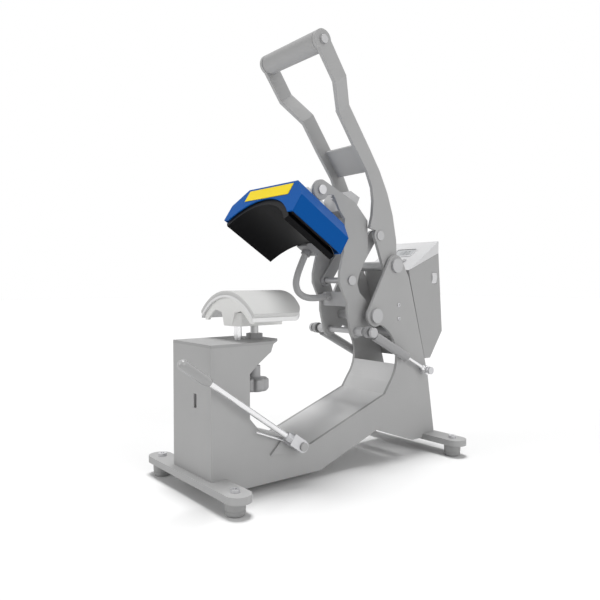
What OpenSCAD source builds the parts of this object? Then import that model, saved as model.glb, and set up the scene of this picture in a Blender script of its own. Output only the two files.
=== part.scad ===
// Cap heat press, shown open: +X is the operator's right, the front faces -Y, +Z is up.
// The origin is at the middle of the footprint on the bench. All sizes are in millimetres.

/* [Frame] */
// Width over the two side plates
frame_w = 110; // [100:1:118]
// Thickness of the side plates
frame_t = 5; // [4:0.5:6]
// Front face of the tower, measured from the middle of the machine
tower_y = -215; // [-220:1:-212]
// Depth of the tower from front to back
tower_d = 63; // [56:1:70]
// Height of the side plates at the table
tower_h = 212; // [206:1:216]
// Underside of the side plates above the bench
plate_z = 10; // [9:0.5:14]
// Thickness of the front cover of the tower
front_t = 4; // [3:0.5:5]
// Thickness of the sloped cover between the side plates
neck_t = 3; // [2:0.5:4]

/* [Feet] */
// Length of each foot bar across the machine
bar_l = 262; // [250:1:280]
// Width of each foot bar from front to back
bar_w = 36; // [32:1:38]
// Height of each foot bar
bar_h = 10; // [8:0.5:12]
// Height of the rubber feet
foot_h = 20; // [18:0.5:24]
// Radius of the rubber feet
foot_r = 14; // [11:0.5:15]
// Distance of each foot from the end of its bar
foot_inset = 25; // [20:1:33]
// Middle of the front foot bar
front_bar_y = -209; // [-211:1:-207]
// Middle of the rear foot bar
rear_bar_y = 236; // [234:1:238]

/* [Table and lower platen] */
// Thickness of the table plate
table_t = 4; // [3:0.5:5]
// Rear end of the table's tongue
tongue_y = -82; // [-84:1:-78]
// Width of the table's tongue at its end
tongue_w = 50; // [44:1:56]
// Middle of the front guide post
guide_y = -137; // [-140:1:-135]
// Radius of the guide post
guide_r = 6; // [5:0.25:7]
// Middle of the rear threaded post
post_y = -107; // [-108:1:-105]
// Radius of the threaded post
post_r = 6; // [5:0.25:7]
// Radius of the collar on the table
collar_r = 12.5; // [11:0.5:14]
// Height of the collar on the table
collar_h = 8; // [6:0.5:10]
// Rise of the lower platen's bracket over the side plates
bracket_rise = 25; // [22:0.5:28]
// Rise of the lower pad's crown over the bracket's underside
crown_rise = 52; // [50:0.5:54]
// Radius of the lower pad's top
pad_r = 102; // [100:0.5:104]
// Chord of the lower pad across the machine
pad_w = 150; // [140:1:154]
// Length of the lower pad along its crown
pad_l = 99; // [96:1:106]
// Front edge of the lower pad
pad_y = -158; // [-160:1:-156]
// Thickness of the soft pad
pad_t = 6; // [5:0.5:7]
// Thickness of the curved plate under the pad
shell_t = 4; // [3:0.5:5]

/* [Clamp knob] */
// Radius of the knob
knob_r = 22; // [18:0.5:24]
// Height of the knob's grip
knob_h = 20; // [14:0.5:22]
// Radius of the knob's hub
hub_r = 9; // [8:0.5:11]
// Drop of the knob's underside below the table
knob_drop = 76; // [72:0.5:80]
// Drop of the hub's top below the table
hub_drop = 37; // [32:0.5:42]

/* [Hold-down lever] */
// Place of the lever's pivot from front to back
hold_y = -73; // [-75:1:-71]
// Height of the lever's pivot
hold_z = 60; // [58:1:62]
// Angle of the lever above the bench
hold_a = 35.4; // [34:0.1:37]
// Reach of the lever from the pivot to the end of the grip
hold_l = 242; // [230:1:250]
// Radius of the lever's rod
hold_r = 4.2; // [3.5:0.1:5]
// Length of the lever's grip
hold_grip_l = 48; // [40:1:60]
// Radius of the lever's grip
hold_grip_r = 7; // [6:0.25:8]
// Distance of the lever's middle plane from the machine's middle
hold_x = 71; // [70:0.5:73]

/* [Heating head] */
// Angle by which the open head tilts back
head_tilt = 33; // [32:0.5:34]
// Bottom front edge of the open head, from front to back
head_y = -104; // [-105:0.5:-103]
// Bottom front edge of the open head, height
head_z = 402; // [401:0.5:403]
// Width of the head's cover at its sides
head_w = 184; // [180:1:188]
// Width of the head's flat top
head_top_w = 128; // [120:1:136]
// Length of the head from front to back
head_l = 108; // [104:1:112]
// Height of the head's cover
head_h = 58; // [56:1:60]
// Height of the upright part of the cover's side
head_side_h = 29; // [26:1:32]
// Wall of the head's cover
head_wall = 2; // [1.5:0.25:3]
// Thickness of the curved heating platen
heat_t = 9; // [8:0.5:10]

/* [Head arm] */
// Distance between the outer faces of the arm's plates
arm_w = 72; // [70:1:74]
// Thickness of the arm's plates
arm_t = 5; // [4:0.5:6]
// Arm pivot, from front to back
arm_y = 98; // [97:0.5:99]
// Arm pivot, height
arm_z = 245; // [244:0.5:246]
// Radius of the arm's pivot shaft
arm_shaft_r = 8; // [7:0.25:9]
// Radius of the pins through the arm
pin_r = 5; // [4.5:0.25:6]

/* [Handle lever] */
// Distance between the outer faces of the lever's lower bars
lever_w = 94; // [92:0.5:95]
// Thickness of the lever's bars
lever_t = 6; // [5:0.5:6.5]
// Distance between the outer faces of the lever's upper bars
fork_w = 142; // [138:1:146]
// Lever pivot, from front to back
lever_y = 146; // [145:0.5:147]
// Lever pivot, height
lever_z = 329; // [328:0.5:330]
// Radius of the lever's pivot shaft
lever_shaft_r = 8; // [7:0.25:9]
// Middle of the handle's grip, from front to back
grip_y = -31; // [-33:0.5:-29]
// Middle of the handle's grip, height
grip_z = 662; // [658:0.5:666]
// Radius of the handle's grip
grip_r = 16; // [14:0.5:17]
// Width of the lever's upper bars
upper_w = 24; // [20:1:26]

/* [Gas struts] */
// Distance of each strut from the machine's middle
strut_x = 65; // [64:0.5:67]
// Front eye of the struts, from front to back
strut_fy = 72; // [71:0.5:73]
// Front eye of the struts, height
strut_fz = 220; // [219:0.5:221]
// Rear eye of the struts, from front to back
strut_ry = 214; // [213:0.5:215]
// Rear eye of the struts, height
strut_rz = 146; // [145:0.5:147]
// Radius of the strut's cylinder
strut_r = 8; // [7:0.25:8.5]
// Radius of the strut's rod
strut_rod_r = 3; // [2.5:0.25:4]
// Length of the strut's cylinder
strut_l = 88; // [80:1:92]

/* [Control unit] */
// Height of the panel's front edge
panel_z = 321; // [319:0.5:323]
// Front edge of the panel
panel_y = 174; // [173:0.5:176]
// Rear face of the control case at its top
case_y = 258; // [256:1:262]
// Top of the control unit
case_h = 375; // [370:1:380]
// Wall of the control case
case_t = 2; // [1.5:0.25:3]
// Radius of the panel's round buttons
button_r = 5; // [4:0.25:6]
// Travel of the buttons
button_travel = 1.5; // [1:0.25:2]

/* [Supply hose] */
// Diameter of the hose from the head to the arm
hose_d = 11; // [9:0.5:12]

/* [Hidden] */

$fn = 48;

// One overrun for every cut, and the clearances that pieces share
cut = 1;
run_fit = 0.08;
skin = 0.1;
gap = 0.3;

frame_x = frame_w / 2;
bar_z = foot_h + bar_h;
arm_x = arm_w / 2;
lever_x = lever_w / 2;
table_z = tower_h + table_t;
tower_back = tower_y + tower_d;
foot_x = bar_l / 2 - foot_inset;
bracket_z = tower_h + bracket_rise;
crown_z = bracket_z + crown_rise;
knob_z = tower_h - knob_drop;
hub_z = tower_h - hub_drop;

// Flat plate with a (y, z) outline, standing from x0 to x0 + t
module side_sheet(points, x0, t) {
    translate([x0, 0, 0]) rotate([90, 0, 90]) linear_extrude(height = t) polygon(points);
}

// Round bar along X from x0 to x1
module x_rod(y, z, x0, x1, r) {
    translate([x0, y, z]) rotate([0, 90, 0]) cylinder(h = x1 - x0, r = r);
}

// Points of an arc in the (y, z) plane from angle a0 to a1
function arc(cy, cz, r, a0, a1, n) =
    [for (i = [0 : n]) let (a = a0 + (a1 - a0) * i / n) [cy + r * cos(a), cz + r * sin(a)]];

function lerp(a, b, s) = a + (b - a) * s;

// Side plates of the frame
throat_r = 62;
throat_y = 88;
throat_z = 172;
valley_y = -41;
valley_z = 54;
notch_y = -133;
notch_z = 86;
shelf_drop = 104;
shelf_z = tower_h - shelf_drop;
neck_end_y = 121;
neck_end_z = 112;
arch_y = 101;
arch_z = 54;
arch_front_y = -21;
arch_back_y = 190;
arch_back_z = 23;
ear_r = 18;
seam_back = 32;
seam_y = case_y - seam_back;
seam_z = 150;
heel_y = 248;
gusset_back = 29;
gusset_y = tongue_y - gusset_back;
gusset_drop = 29;
gusset_z = tower_h - gusset_drop;

side_outline = concat(
    [[tower_y, bar_z], [tower_y, tower_h], [gusset_y, tower_h],
     [gusset_y - table_t, lerp(gusset_z, tower_h, 0.62)], [lerp(tower_back, gusset_y, 0.3), gusset_z],
     [tower_back, lerp(shelf_z, gusset_z, 0.85)],
     [tower_back, shelf_z], [notch_y, notch_z], [valley_y, valley_z], [neck_end_y, neck_end_z]],
    arc(throat_y, throat_z, throat_r, -42, 66, 18),
    arc(arm_y, arm_z, ear_r, 300, 150, 12),
    arc(lever_y, lever_z, ear_r, 150, 20, 12),
    [[panel_y + frame_t, lerp(seam_z, panel_z, 0.93)], [seam_y, seam_z],
     [lerp(seam_y, heel_y, 0.15), lerp(bar_z, seam_z, 0.92)], [heel_y, bar_z],
     [rear_bar_y - bar_w / 2 - gap, bar_z], [rear_bar_y - bar_w / 2 - gap, arch_back_z],
     [arch_back_y, arch_back_z], [arch_y, arch_z], [arch_front_y, plate_z],
     [front_bar_y + bar_w / 2 + gap, plate_z], [front_bar_y + bar_w / 2 + gap, bar_z]]);

module side_plate(x0) {
    difference() {
        side_sheet(side_outline, x0, frame_t);
        x_rod(arm_y, arm_z, x0 - cut, x0 + frame_t + cut, arm_shaft_r + run_fit);
        x_rod(lever_y, lever_z, x0 - cut, x0 + frame_t + cut, lever_shaft_r + run_fit);
    }
}

module left_side_plate() {
    color("darkgray") side_plate(-frame_x);
}

module right_side_plate() {
    color("darkgray") side_plate(frame_x - frame_t);
}

// Narrow upright slot in the tower's front
slot_x = 11;
slot_z = 125;
slot_w = 8;
slot_h = 20;

module tower_front_plate() {
    color("darkgray") difference() {
        translate([-frame_x + frame_t, tower_y, bar_z]) cube([frame_w - 2 * frame_t, front_t, tower_h - bar_z]);
        translate([slot_x - slot_w / 2, tower_y - cut, slot_z]) cube([slot_w, front_t + 2 * cut, slot_h]);
    }
}

// Sloped cover that closes the neck between the side plates
neck_line = concat(
    [[tower_back, shelf_z], [notch_y, notch_z], [valley_y, valley_z], [neck_end_y, neck_end_z]],
    arc(throat_y, throat_z, throat_r, -42, -10.5, 8));
neck_under = concat(
    [[tower_back, shelf_z - 2 * neck_t], [notch_y - neck_t / 2, notch_z - neck_t],
     [valley_y, valley_z - neck_t], [neck_end_y + neck_t / 2, neck_end_z - neck_t]],
    arc(throat_y, throat_z, throat_r + neck_t, -42, -10.5, 8));

module neck_cover() {
    n = len(neck_under);
    color("silver") side_sheet(
        concat(neck_line, [for (i = [0 : n - 1]) neck_under[n - 1 - i]]),
        -frame_x + frame_t, frame_w - 2 * frame_t);
}

// Table on the tower, with a tongue that carries the rear post
module table_plate() {
    rib_t = table_t;
    rib_x = tongue_w / 2 - rib_t;
    color("darkgray") difference() {
        union() {
            translate([0, 0, tower_h]) linear_extrude(height = table_t) polygon([
                [-frame_x, tower_y], [frame_x, tower_y], [frame_x, gusset_y],
                [tongue_w / 2, tongue_y], [-tongue_w / 2, tongue_y], [-frame_x, gusset_y]]);
            for (s = [-1, 1]) side_sheet(
                [[tower_back - table_t, tower_h], [tongue_y - table_t / 2, tower_h],
                 [tongue_y - 2 * table_t, tower_h - table_t],
                 [tongue_y - 3 * table_t, lerp(gusset_z, tower_h, 0.45)],
                 [lerp(tower_back, tongue_y, 0.45), gusset_z - table_t],
                 [tower_back - table_t, lerp(shelf_z, gusset_z, 0.6)]],
                s > 0 ? rib_x : -rib_x - rib_t, rib_t);
        }
        translate([0, guide_y, tower_h - cut]) cylinder(h = table_t + 2 * cut, r = guide_r + run_fit);
        translate([0, post_y, tower_h - cut]) cylinder(h = table_t + 2 * cut, r = post_r + run_fit);
    }
}

// Foot bars: shallow channels with rounded ends
module foot_bar(y) {
    end_r = bar_w / 2;
    wall = bar_h * 0.4;
    difference() {
        translate([0, y, foot_h]) union() {
            translate([-bar_l / 2 + end_r, -end_r, 0]) cube([bar_l - 2 * end_r, bar_w, bar_h]);
            for (s = [-1, 1]) translate([s * (bar_l / 2 - end_r), 0, 0]) cylinder(h = bar_h, r = end_r);
        }
        for (s = [-1, 1]) translate([s * foot_x, y, foot_h - cut])
            cylinder(h = bar_h + 2 * cut, r = bolt_r + run_fit);
        translate([-foot_x + foot_r + wall, y - end_r + wall, foot_h - cut])
            cube([2 * (foot_x - foot_r - wall), bar_w - 2 * wall, bar_h - wall + cut]);
    }
}

module front_foot_bar() {
    color("darkgray") foot_bar(front_bar_y);
}

module rear_foot_bar() {
    color("darkgray") foot_bar(rear_bar_y);
}

bolt_r = 4;
bolt_head_r = 6.5;
bolt_head_h = 4.5;

module at_feet() {
    for (y = [front_bar_y, rear_bar_y]) for (s = [-1, 1]) translate([s * foot_x, y, 0]) children();
}

module rubber_feet() {
    chamfer = foot_r * 0.15;
    color("gray") at_feet() difference() {
        union() {
            cylinder(h = chamfer, r1 = foot_r - chamfer, r2 = foot_r);
            translate([0, 0, chamfer]) cylinder(h = foot_h - 2 * chamfer, r = foot_r);
            translate([0, 0, foot_h - chamfer]) cylinder(h = chamfer, r1 = foot_r, r2 = foot_r - chamfer);
        }
        translate([0, 0, foot_h / 2]) cylinder(h = foot_h / 2 + cut, r = bolt_r + run_fit);
    }
}

module foot_bolts() {
    color("silver") at_feet() union() {
        translate([0, 0, foot_h / 2 + gap]) cylinder(h = foot_h / 2 + bar_h - gap, r = bolt_r);
        difference() {
            translate([0, 0, bar_z]) cylinder(h = bolt_head_h, r = bolt_head_r);
            translate([0, 0, bar_z + bolt_head_h / 2]) cylinder(h = bolt_head_h, r = bolt_head_r / 2, $fn = 6);
        }
    }
}

// Cross tubes that hold the two side plates apart, with a bolt head outside each plate
spacer_r = 8;
spacer_places = [
    [lerp(tower_y, tower_back, 0.5), lerp(bar_z, tower_h, 0.45)],
    [lerp(neck_end_y, heel_y, 0.3), lerp(bar_z, seam_z, 0.35)],
    [lerp(neck_end_y, seam_y, 0.72), lerp(seam_z, panel_z, 0.35)]];

module frame_spacers() {
    color("silver") for (p = spacer_places) {
        x_rod(p[0], p[1], -frame_x + frame_t, frame_x - frame_t, spacer_r);
    }
}

// Control unit: a dark case between and behind the side plates, and a pale wedge on top
case_lean = 11;
case_low_y = case_y + case_lean;
case_low_z = 212;
wedge_h = 22;
case_top_z = case_h - wedge_h;
case_x = frame_x;
tip_rise = 15;

module control_case() {
    outer = [[seam_y - tip_rise * 0.26, seam_z + tip_rise], [lerp(seam_y, case_low_y, 0.24), seam_z + tip_rise],
             [case_low_y, case_low_z], [case_y, case_top_z],
             [panel_y + gap + frame_t, panel_z + gap],
             [panel_y + gap + frame_t + case_t, lerp(seam_z, panel_z, 0.93)]];
    inner = [[seam_y - tip_rise * 0.26 + case_t, seam_z + tip_rise + case_t],
             [lerp(seam_y, case_low_y, 0.24) - case_t / 2, seam_z + tip_rise + case_t],
             [case_low_y - case_t, case_low_z],
             [case_y - case_t, case_top_z - 1.5 * case_t], [panel_y + 5 * case_t, panel_z - case_t]];
    color("darkgray") difference() {
        side_sheet(outer, -case_x, 2 * case_x);
        side_sheet(inner, -case_x + case_t, 2 * (case_x - case_t));
        translate([inlet_x - inlet_w / 2, case_y - 5 * case_t, inlet_z]) cube([inlet_w, 20 * case_t, inlet_h]);
        translate([case_x - case_t - cut, switch_y - switch_l / 2 - gap, switch_z - switch_h / 2 - gap])
            cube([case_t + 2 * cut, switch_l + 2 * gap, switch_h + 2 * gap]);
    }
}

panel_a = atan2(case_h - panel_z, case_y - panel_y - frame_t);
panel_l = norm([case_h - panel_z, case_y - panel_y - frame_t]);

// Places its children on the panel: y runs up the slope, z stands out of it
module on_panel() {
    translate([0, panel_y + frame_t, panel_z + gap]) rotate([panel_a, 0, 0]) children();
}

display_w = 46;
display_l = 22;
display_t = 1.5;
button_y_share = 0.32;
display_y_share = 0.62;
button_step = 20;
button_h = 3;

module control_panel() {
    color("gainsboro") difference() {
        side_sheet([[panel_y + gap + frame_t, panel_z + 2 * gap], [case_y, case_top_z + gap],
                    [case_y, case_h], [panel_y + frame_t, panel_z + 3 * gap]], -case_x, 2 * case_x);
        on_panel() {
            translate([-display_w / 2, display_y_share * panel_l - display_l / 2, -display_t])
                cube([display_w, display_l, display_t + panel_l]);
            for (s = [-1, 0, 1])
                translate([s * button_step, button_y_share * panel_l, -button_h - button_travel])
                    cylinder(h = button_h + button_travel + panel_l, r = button_r + gap);
        }
    }
}

module display_window() {
    color("black") on_panel()
        translate([-display_w / 2 + gap, display_y_share * panel_l - display_l / 2 + gap, -display_t])
            cube([display_w - 2 * gap, display_l - 2 * gap, display_t]);
}

module panel_button(s) {
    on_panel() translate([s * button_step, button_y_share * panel_l, -button_h + gap])
        cylinder(h = button_h + button_travel, r = button_r);
}

module button_set() {
    color("dimgray") panel_button(-1);
}

module button_up() {
    color("dimgray") panel_button(0);
}

module button_down() {
    color("dimgray") panel_button(1);
}

// Rocker switch in the right side of the case
switch_back = 12;
switch_y = case_y - switch_back;
switch_z = 308;
switch_l = 12;
switch_h = 20;
switch_d = 9;
switch_a = 4;

module power_switch() {
    // rocks about an axis in the case's wall, and rests with its lower end pressed in
    color("gainsboro") translate([case_x - case_t, switch_y, switch_z]) rotate([0, switch_a, 0]) intersection() {
        translate([-switch_d / 2, -switch_l / 2, -switch_h / 2]) cube([switch_d, switch_l, switch_h]);
        translate([-switch_h + case_t, switch_l, 0]) rotate([90, 0, 0])
            cylinder(h = 2 * switch_l, r = switch_h + case_t);
    }
}

inlet_x = -20;
inlet_z = 300;
inlet_w = 28;
inlet_h = 20;
inlet_d = 24;

module power_inlet() {
    flange = 3;
    wall = 2;
    // the rear face leans, so the flange stands just clear of it
    lean = (case_low_y - case_y) * (case_top_z - inlet_z) / (case_top_z - case_low_z);
    color("dimgray") difference() {
        union() {
            translate([inlet_x - inlet_w / 2 + gap, case_y - inlet_d + flange, inlet_z + gap])
                cube([inlet_w - 2 * gap, inlet_d + lean, inlet_h - 2 * gap]);
            translate([inlet_x - inlet_w / 2 - flange, case_y + lean + gap, inlet_z - flange])
                cube([inlet_w + 2 * flange, flange, inlet_h + 2 * flange]);
        }
        translate([inlet_x - inlet_w / 2 + wall + gap, case_y - inlet_d + 2 * flange, inlet_z + wall + gap])
            cube([inlet_w - 2 * wall - 2 * gap, 2 * inlet_d, inlet_h - 2 * wall - 2 * gap]);
    }
}

board_front = 12;
board_y = seam_y - board_front;
board_z = 235;
board_w = 90;
board_l = 60;
board_t = 2;

module control_board() {
    chip = 12;
    color("green") translate([-board_w / 2, board_y, board_z]) union() {
        cube([board_w, board_t, board_l]);
        for (i = [0 : 3]) translate([chip / 2 + i * board_w / 4, -chip / 2, chip / 2])
            cube([chip, chip / 2, chip * (1 + i % 2)]);
        for (s = [0, 1]) translate([s * (board_w - chip / 2), board_t, chip])
            cube([chip / 2, case_low_y - board_y - 4 * board_t, chip / 2]);
    }
}

// Shafts
cap_r = 12;
cap_t = 5;

module shaft(y, z, r) {
    x_rod(y, z, -frame_x - gap, frame_x + gap, r);
    for (s = [-1, 1]) {
        x_rod(y, z, s > 0 ? frame_x + gap : -frame_x - gap - cap_t,
              s > 0 ? frame_x + gap + cap_t : -frame_x - gap, cap_r);
    }
}

module lever_shaft() {
    color("dimgray") shaft(lever_y, lever_z, lever_shaft_r);
}

module arm_shaft() {
    color("dimgray") shaft(arm_y, arm_z, arm_shaft_r);
}

stud_r = 4;
eye_r = 8;
eye_w = 8;

module strut_studs() {
    color("silver") for (s = [-1, 1]) {
        x_rod(strut_ry, strut_rz, s > 0 ? frame_x : -strut_x - eye_w,
              s > 0 ? strut_x + eye_w : -frame_x, stud_r);
        x_rod(strut_ry, strut_rz, s > 0 ? strut_x + eye_w : -strut_x - eye_w - stud_r,
              s > 0 ? strut_x + eye_w + stud_r : -strut_x - eye_w, eye_r * 0.8);
        x_rod(strut_ry, strut_rz, s > 0 ? frame_x : -frame_x - stud_r,
              s > 0 ? frame_x + stud_r : -frame_x, eye_r * 0.9);
    }
}

// Lower platen
module post_collar() {
    color("dimgray") translate([0, post_y, table_z]) difference() {
        cylinder(h = collar_h, r = collar_r, $fn = 6);
        translate([0, 0, -cut]) cylinder(h = collar_h + 2 * cut, r = post_r + run_fit);
    }
}

pad_axis_z = crown_z - pad_r;
pad_corner = 12;
pad_back_r = 215;
pad_steps = 36;

// The rear edge bows in a wide arc and rounds off at its two corners
function pad_back(x, w, y1) = y1 - pad_back_r + sqrt(pow(pad_back_r, 2) - x * x)
    - pad_corner + sqrt(pow(pad_corner, 2) - pow(max(0, abs(x) - w / 2 + pad_corner), 2));

// Curved sheet between two radii over the pad's chord, with a bowed rear edge
module curved_sheet(r_out, r_in, w, y0, l) {
    intersection() {
        translate([0, y0 + l, pad_axis_z]) rotate([90, 0, 0]) difference() {
            cylinder(h = l, r = r_out, $fn = 96);
            translate([0, 0, -cut]) cylinder(h = l + 2 * cut, r = r_in, $fn = 96);
        }
        translate([0, 0, pad_axis_z]) linear_extrude(height = 2 * pad_r)
            polygon(concat([[-w / 2, y0], [w / 2, y0]],
                [for (i = [0 : pad_steps]) let (x = cos(180 * i / pad_steps) * w / 2)
                    [x, pad_back(x, w, y0 + l)]]));
    }
}

module lower_pad() {
    color("gainsboro") curved_sheet(pad_r, pad_r - pad_t, pad_w, pad_y, pad_l);
}

module lower_platen_shell() {
    color("silver")
        curved_sheet(pad_r - pad_t - skin, pad_r - pad_t - shell_t, pad_w - 2 * shell_t, pad_y, pad_l);
}

bracket_w = 48;
bracket_t = 6;
bracket_y = -154;
bracket_l = 82;
bracket_corner_l = 8.5;
pillar_w = 22;
pillar_top_w = 36;
pillar_t = 4;
cheek_rise = 20;
cheek_z = bracket_z + cheek_rise;
flare_rise = 3;
band_w = 11;
band_angle = 46;

// Plan of the bracket, narrow in front; the inset draws the inner face of its wall
module bracket_plan(inset) {
    y1 = bracket_y + bracket_l;
    polygon([[-bracket_w / 2 + inset, y1], [-bracket_w / 2 + inset, bracket_y + bracket_corner_l + inset / 2],
             [-pillar_w / 2 + inset / 2, bracket_y + inset], [pillar_w / 2 - inset / 2, bracket_y + inset],
             [bracket_w / 2 - inset, bracket_y + bracket_corner_l + inset / 2], [bracket_w / 2 - inset, y1]]);
}

// Web under the curved plate: an arch band with a pillar that flares into it
module bracket_web(y, half_a) {
    under_r = pad_r - pad_t - shell_t - skin;
    across = under_r * sin(half_a);
    translate([0, y + pillar_t, pad_axis_z]) rotate([90, 0, 0])
        linear_extrude(height = pillar_t) intersection() {
        circle(r = under_r, $fn = 96);
        union() {
            difference() {
                translate([-across, (under_r - band_w) * cos(half_a)]) square([2 * across, pad_r]);
                circle(r = under_r - band_w, $fn = 96);
            }
            polygon([[-pillar_w / 2, bracket_z - pad_axis_z], [pillar_w / 2, bracket_z - pad_axis_z],
                     [pillar_top_w / 2, cheek_z - pad_axis_z],
                     [pillar_top_w, cheek_z + flare_rise - pad_axis_z], [pillar_top_w, under_r], [-pillar_top_w, under_r],
                     [-pillar_top_w, cheek_z + flare_rise - pad_axis_z], [-pillar_top_w / 2, cheek_z - pad_axis_z]]);
        }
    }
}

module lower_bracket() {
    color("whitesmoke") difference() {
        union() {
            translate([0, 0, bracket_z]) linear_extrude(height = bracket_t) bracket_plan(0);
            translate([0, 0, bracket_z]) linear_extrude(height = cheek_rise) difference() {
                bracket_plan(0);
                bracket_plan(pillar_t);
                translate([-bracket_w, bracket_y + bracket_l * 0.75]) square([2 * bracket_w, bracket_l]);
            }
            bracket_web(bracket_y, band_angle);
            bracket_web(bracket_y + bracket_l * 0.72, band_angle / 2);
            for (y = [guide_y, post_y]) translate([0, y, bracket_z])
                cylinder(h = 3 * bracket_t, r = 2 * guide_r - gap);
        }
        for (y = [guide_y, post_y]) translate([0, y, bracket_z - cut])
            cylinder(h = 2 * bracket_t + cut, r = guide_r + run_fit);
    }
}

module guide_post() {
    color("whitesmoke") translate([0, guide_y, tower_h - guide_drop])
        cylinder(h = bracket_z + 2 * bracket_t - gap - tower_h + guide_drop, r = guide_r);
}

guide_drop = 20;
thread_pitch = 2;

// Threaded post: grooves stand for its thread
module threaded_post() {
    groove = 0.5;
    z0 = knob_z + knob_h / 2;
    z1 = bracket_z + 2 * bracket_t - gap;
    color("silver") translate([0, post_y, 0]) difference() {
        translate([0, 0, z0]) cylinder(h = z1 - z0, r = post_r);
        for (z = [hub_z + thread_pitch : thread_pitch : tower_h - thread_pitch]) translate([0, 0, z])
            rotate_extrude() translate([post_r - groove, 0]) square([2 * groove, thread_pitch / 2]);
    }
}

module clamp_knob() {
    lobes = 7;
    bore_z = knob_z + knob_h / 2;
    color("dimgray") translate([0, post_y, 0]) difference() {
        union() {
            translate([0, 0, knob_z]) cylinder(h = knob_h, r = knob_r);
            translate([0, 0, knob_z + knob_h]) cylinder(h = hub_z - knob_z - knob_h, r = hub_r);
        }
        for (i = [0 : lobes - 1]) rotate([0, 0, i * 360 / lobes]) translate([knob_r * 1.15, 0, knob_z - cut])
            cylinder(h = knob_h + 2 * cut, r = knob_r * 0.28);
        translate([0, 0, bore_z - gap]) cylinder(h = hub_z - bore_z + 2 * cut, r = post_r + run_fit);
    }
}

// Hold-down lever on the right side
tongue_t = 5;
tine_t = 4;
hold_pin_r = 4;
hold_eye_r = 9;

module hold_down_bracket() {
    x1 = hold_x - tongue_t / 2;
    color("darkgray") union() {
        side_sheet([[hold_y - 5 * hold_eye_r, hold_z - hold_eye_r],
                    [hold_y + hold_eye_r, hold_z - 1.5 * hold_eye_r],
                    [hold_y + 2 * hold_eye_r, hold_z + hold_eye_r / 2],
                    [hold_y - 3 * hold_eye_r, hold_z + hold_eye_r]],
                   frame_x, tine_t);
        x_rod(hold_y, hold_z, frame_x, x1 - tine_t - 2 * gap, hold_pin_r * 1.6);
        x_rod(hold_y, hold_z, x1, x1 + tongue_t, hold_eye_r - 2 * gap);
        x_rod(hold_y, hold_z, frame_x, hold_x + tongue_t / 2 + tine_t + 3 * gap, hold_pin_r);
        x_rod(hold_y, hold_z, hold_x + tongue_t / 2 + tine_t + 2 * gap,
              hold_x + tongue_t / 2 + 1.5 * tine_t + 2 * gap, 1.6 * hold_pin_r);
    }
}

// Places its children on the lever: z runs from the pivot towards the grip
module on_hold_lever() {
    translate([hold_x, hold_y, hold_z]) rotate([90 - hold_a, 0, 0]) children();
}

hold_block_l = 10;
hold_block_z = 14;

module hold_down_fork() {
    hold_w = tongue_t + 2 * tine_t + 2 * gap;
    color("silver") difference() {
        on_hold_lever() union() {
            for (s = [-1, 1]) {
                x0 = s > 0 ? tongue_t / 2 + gap : -tongue_t / 2 - gap - tine_t;
                translate([x0, -hold_eye_r, 0]) cube([tine_t, 2 * hold_eye_r, hold_block_z]);
                translate([x0, 0, 0]) rotate([0, 90, 0]) cylinder(h = tine_t, r = hold_eye_r);
            }
            translate([-hold_w / 2, -hold_eye_r, hold_block_z - gap])
                cube([hold_w, 2 * hold_eye_r, hold_block_l]);
            translate([0, 0, hold_block_z + hold_block_l - gap])
                cylinder(h = hold_block_l, r = hold_grip_r, $fn = 6);
        }
        x_rod(hold_y, hold_z, hold_x - hold_w, hold_x + hold_w, hold_pin_r + run_fit);
        on_hold_lever() translate([0, 0, hold_block_z + 2 * gap]) cylinder(h = 3 * hold_block_l, r = hold_r);
    }
}

module hold_down_rod() {
    color("whitesmoke") on_hold_lever() translate([0, 0, hold_block_z + 2 * gap])
        cylinder(h = hold_l - hold_block_z - hold_grip_r, r = hold_r);
}

module hold_down_grip() {
    color("dimgray") on_hold_lever() difference() {
        union() {
            translate([0, 0, hold_l - hold_grip_l]) cylinder(h = hold_grip_l - hold_grip_r, r = hold_grip_r);
            translate([0, 0, hold_l - hold_grip_r]) sphere(r = hold_grip_r);
            translate([0, 0, hold_l - hold_grip_l - hold_grip_r])
                cylinder(h = hold_grip_r, r1 = hold_r + 2 * gap, r2 = hold_grip_r);
        }
        translate([0, 0, hold_l - 2 * hold_grip_l])
            cylinder(h = 2 * hold_grip_l - hold_grip_r + 2 * gap, r = hold_r);
    }
}

// Thin rod from the fork's block forward along the neck
hook_r = 1.5;
hook_l = 80;
hook_a = 22;

module hold_down_hook() {
    color("whitesmoke") translate([hold_x - tongue_t / 2 - tine_t - hook_r, hold_y, hold_z])
        rotate([90 - hook_a, 0, 0]) translate([0, 0, hold_eye_r]) cylinder(h = hook_l - hold_eye_r, r = hook_r);
}

// Head arm: two plates from the pivot to the lug above the head
link_low_y = 60;
link_low_z = 304;
link_top_y = 115.8;
link_top_z = 379.2;
lug_reach = 60;
lug_rise = 92;
lug_r = 16;
lug_y = head_y + lug_reach * cos(head_tilt) + lug_rise * sin(head_tilt);
lug_z = head_z - lug_reach * sin(head_tilt) + lug_rise * cos(head_tilt);
function head_point(s, n) = [head_y + s * cos(head_tilt) + n * sin(head_tilt),
                             head_z - s * sin(head_tilt) + n * cos(head_tilt)];
arm_back_r = 20;
strut_lug_r = 12;
waist_y = 74;
waist_z = 298;
nose_y = 35;
nose_z = 316;
arm_neck_y = 22;
arm_neck_z = 440;
arm_throat_y = 46;
arm_throat_z = 404;
brow_y = 44;
brow_z = 350;
shoulder_y = 69;
shoulder_z = 432;
elbow_y = 97;
elbow_z = 404;

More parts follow.
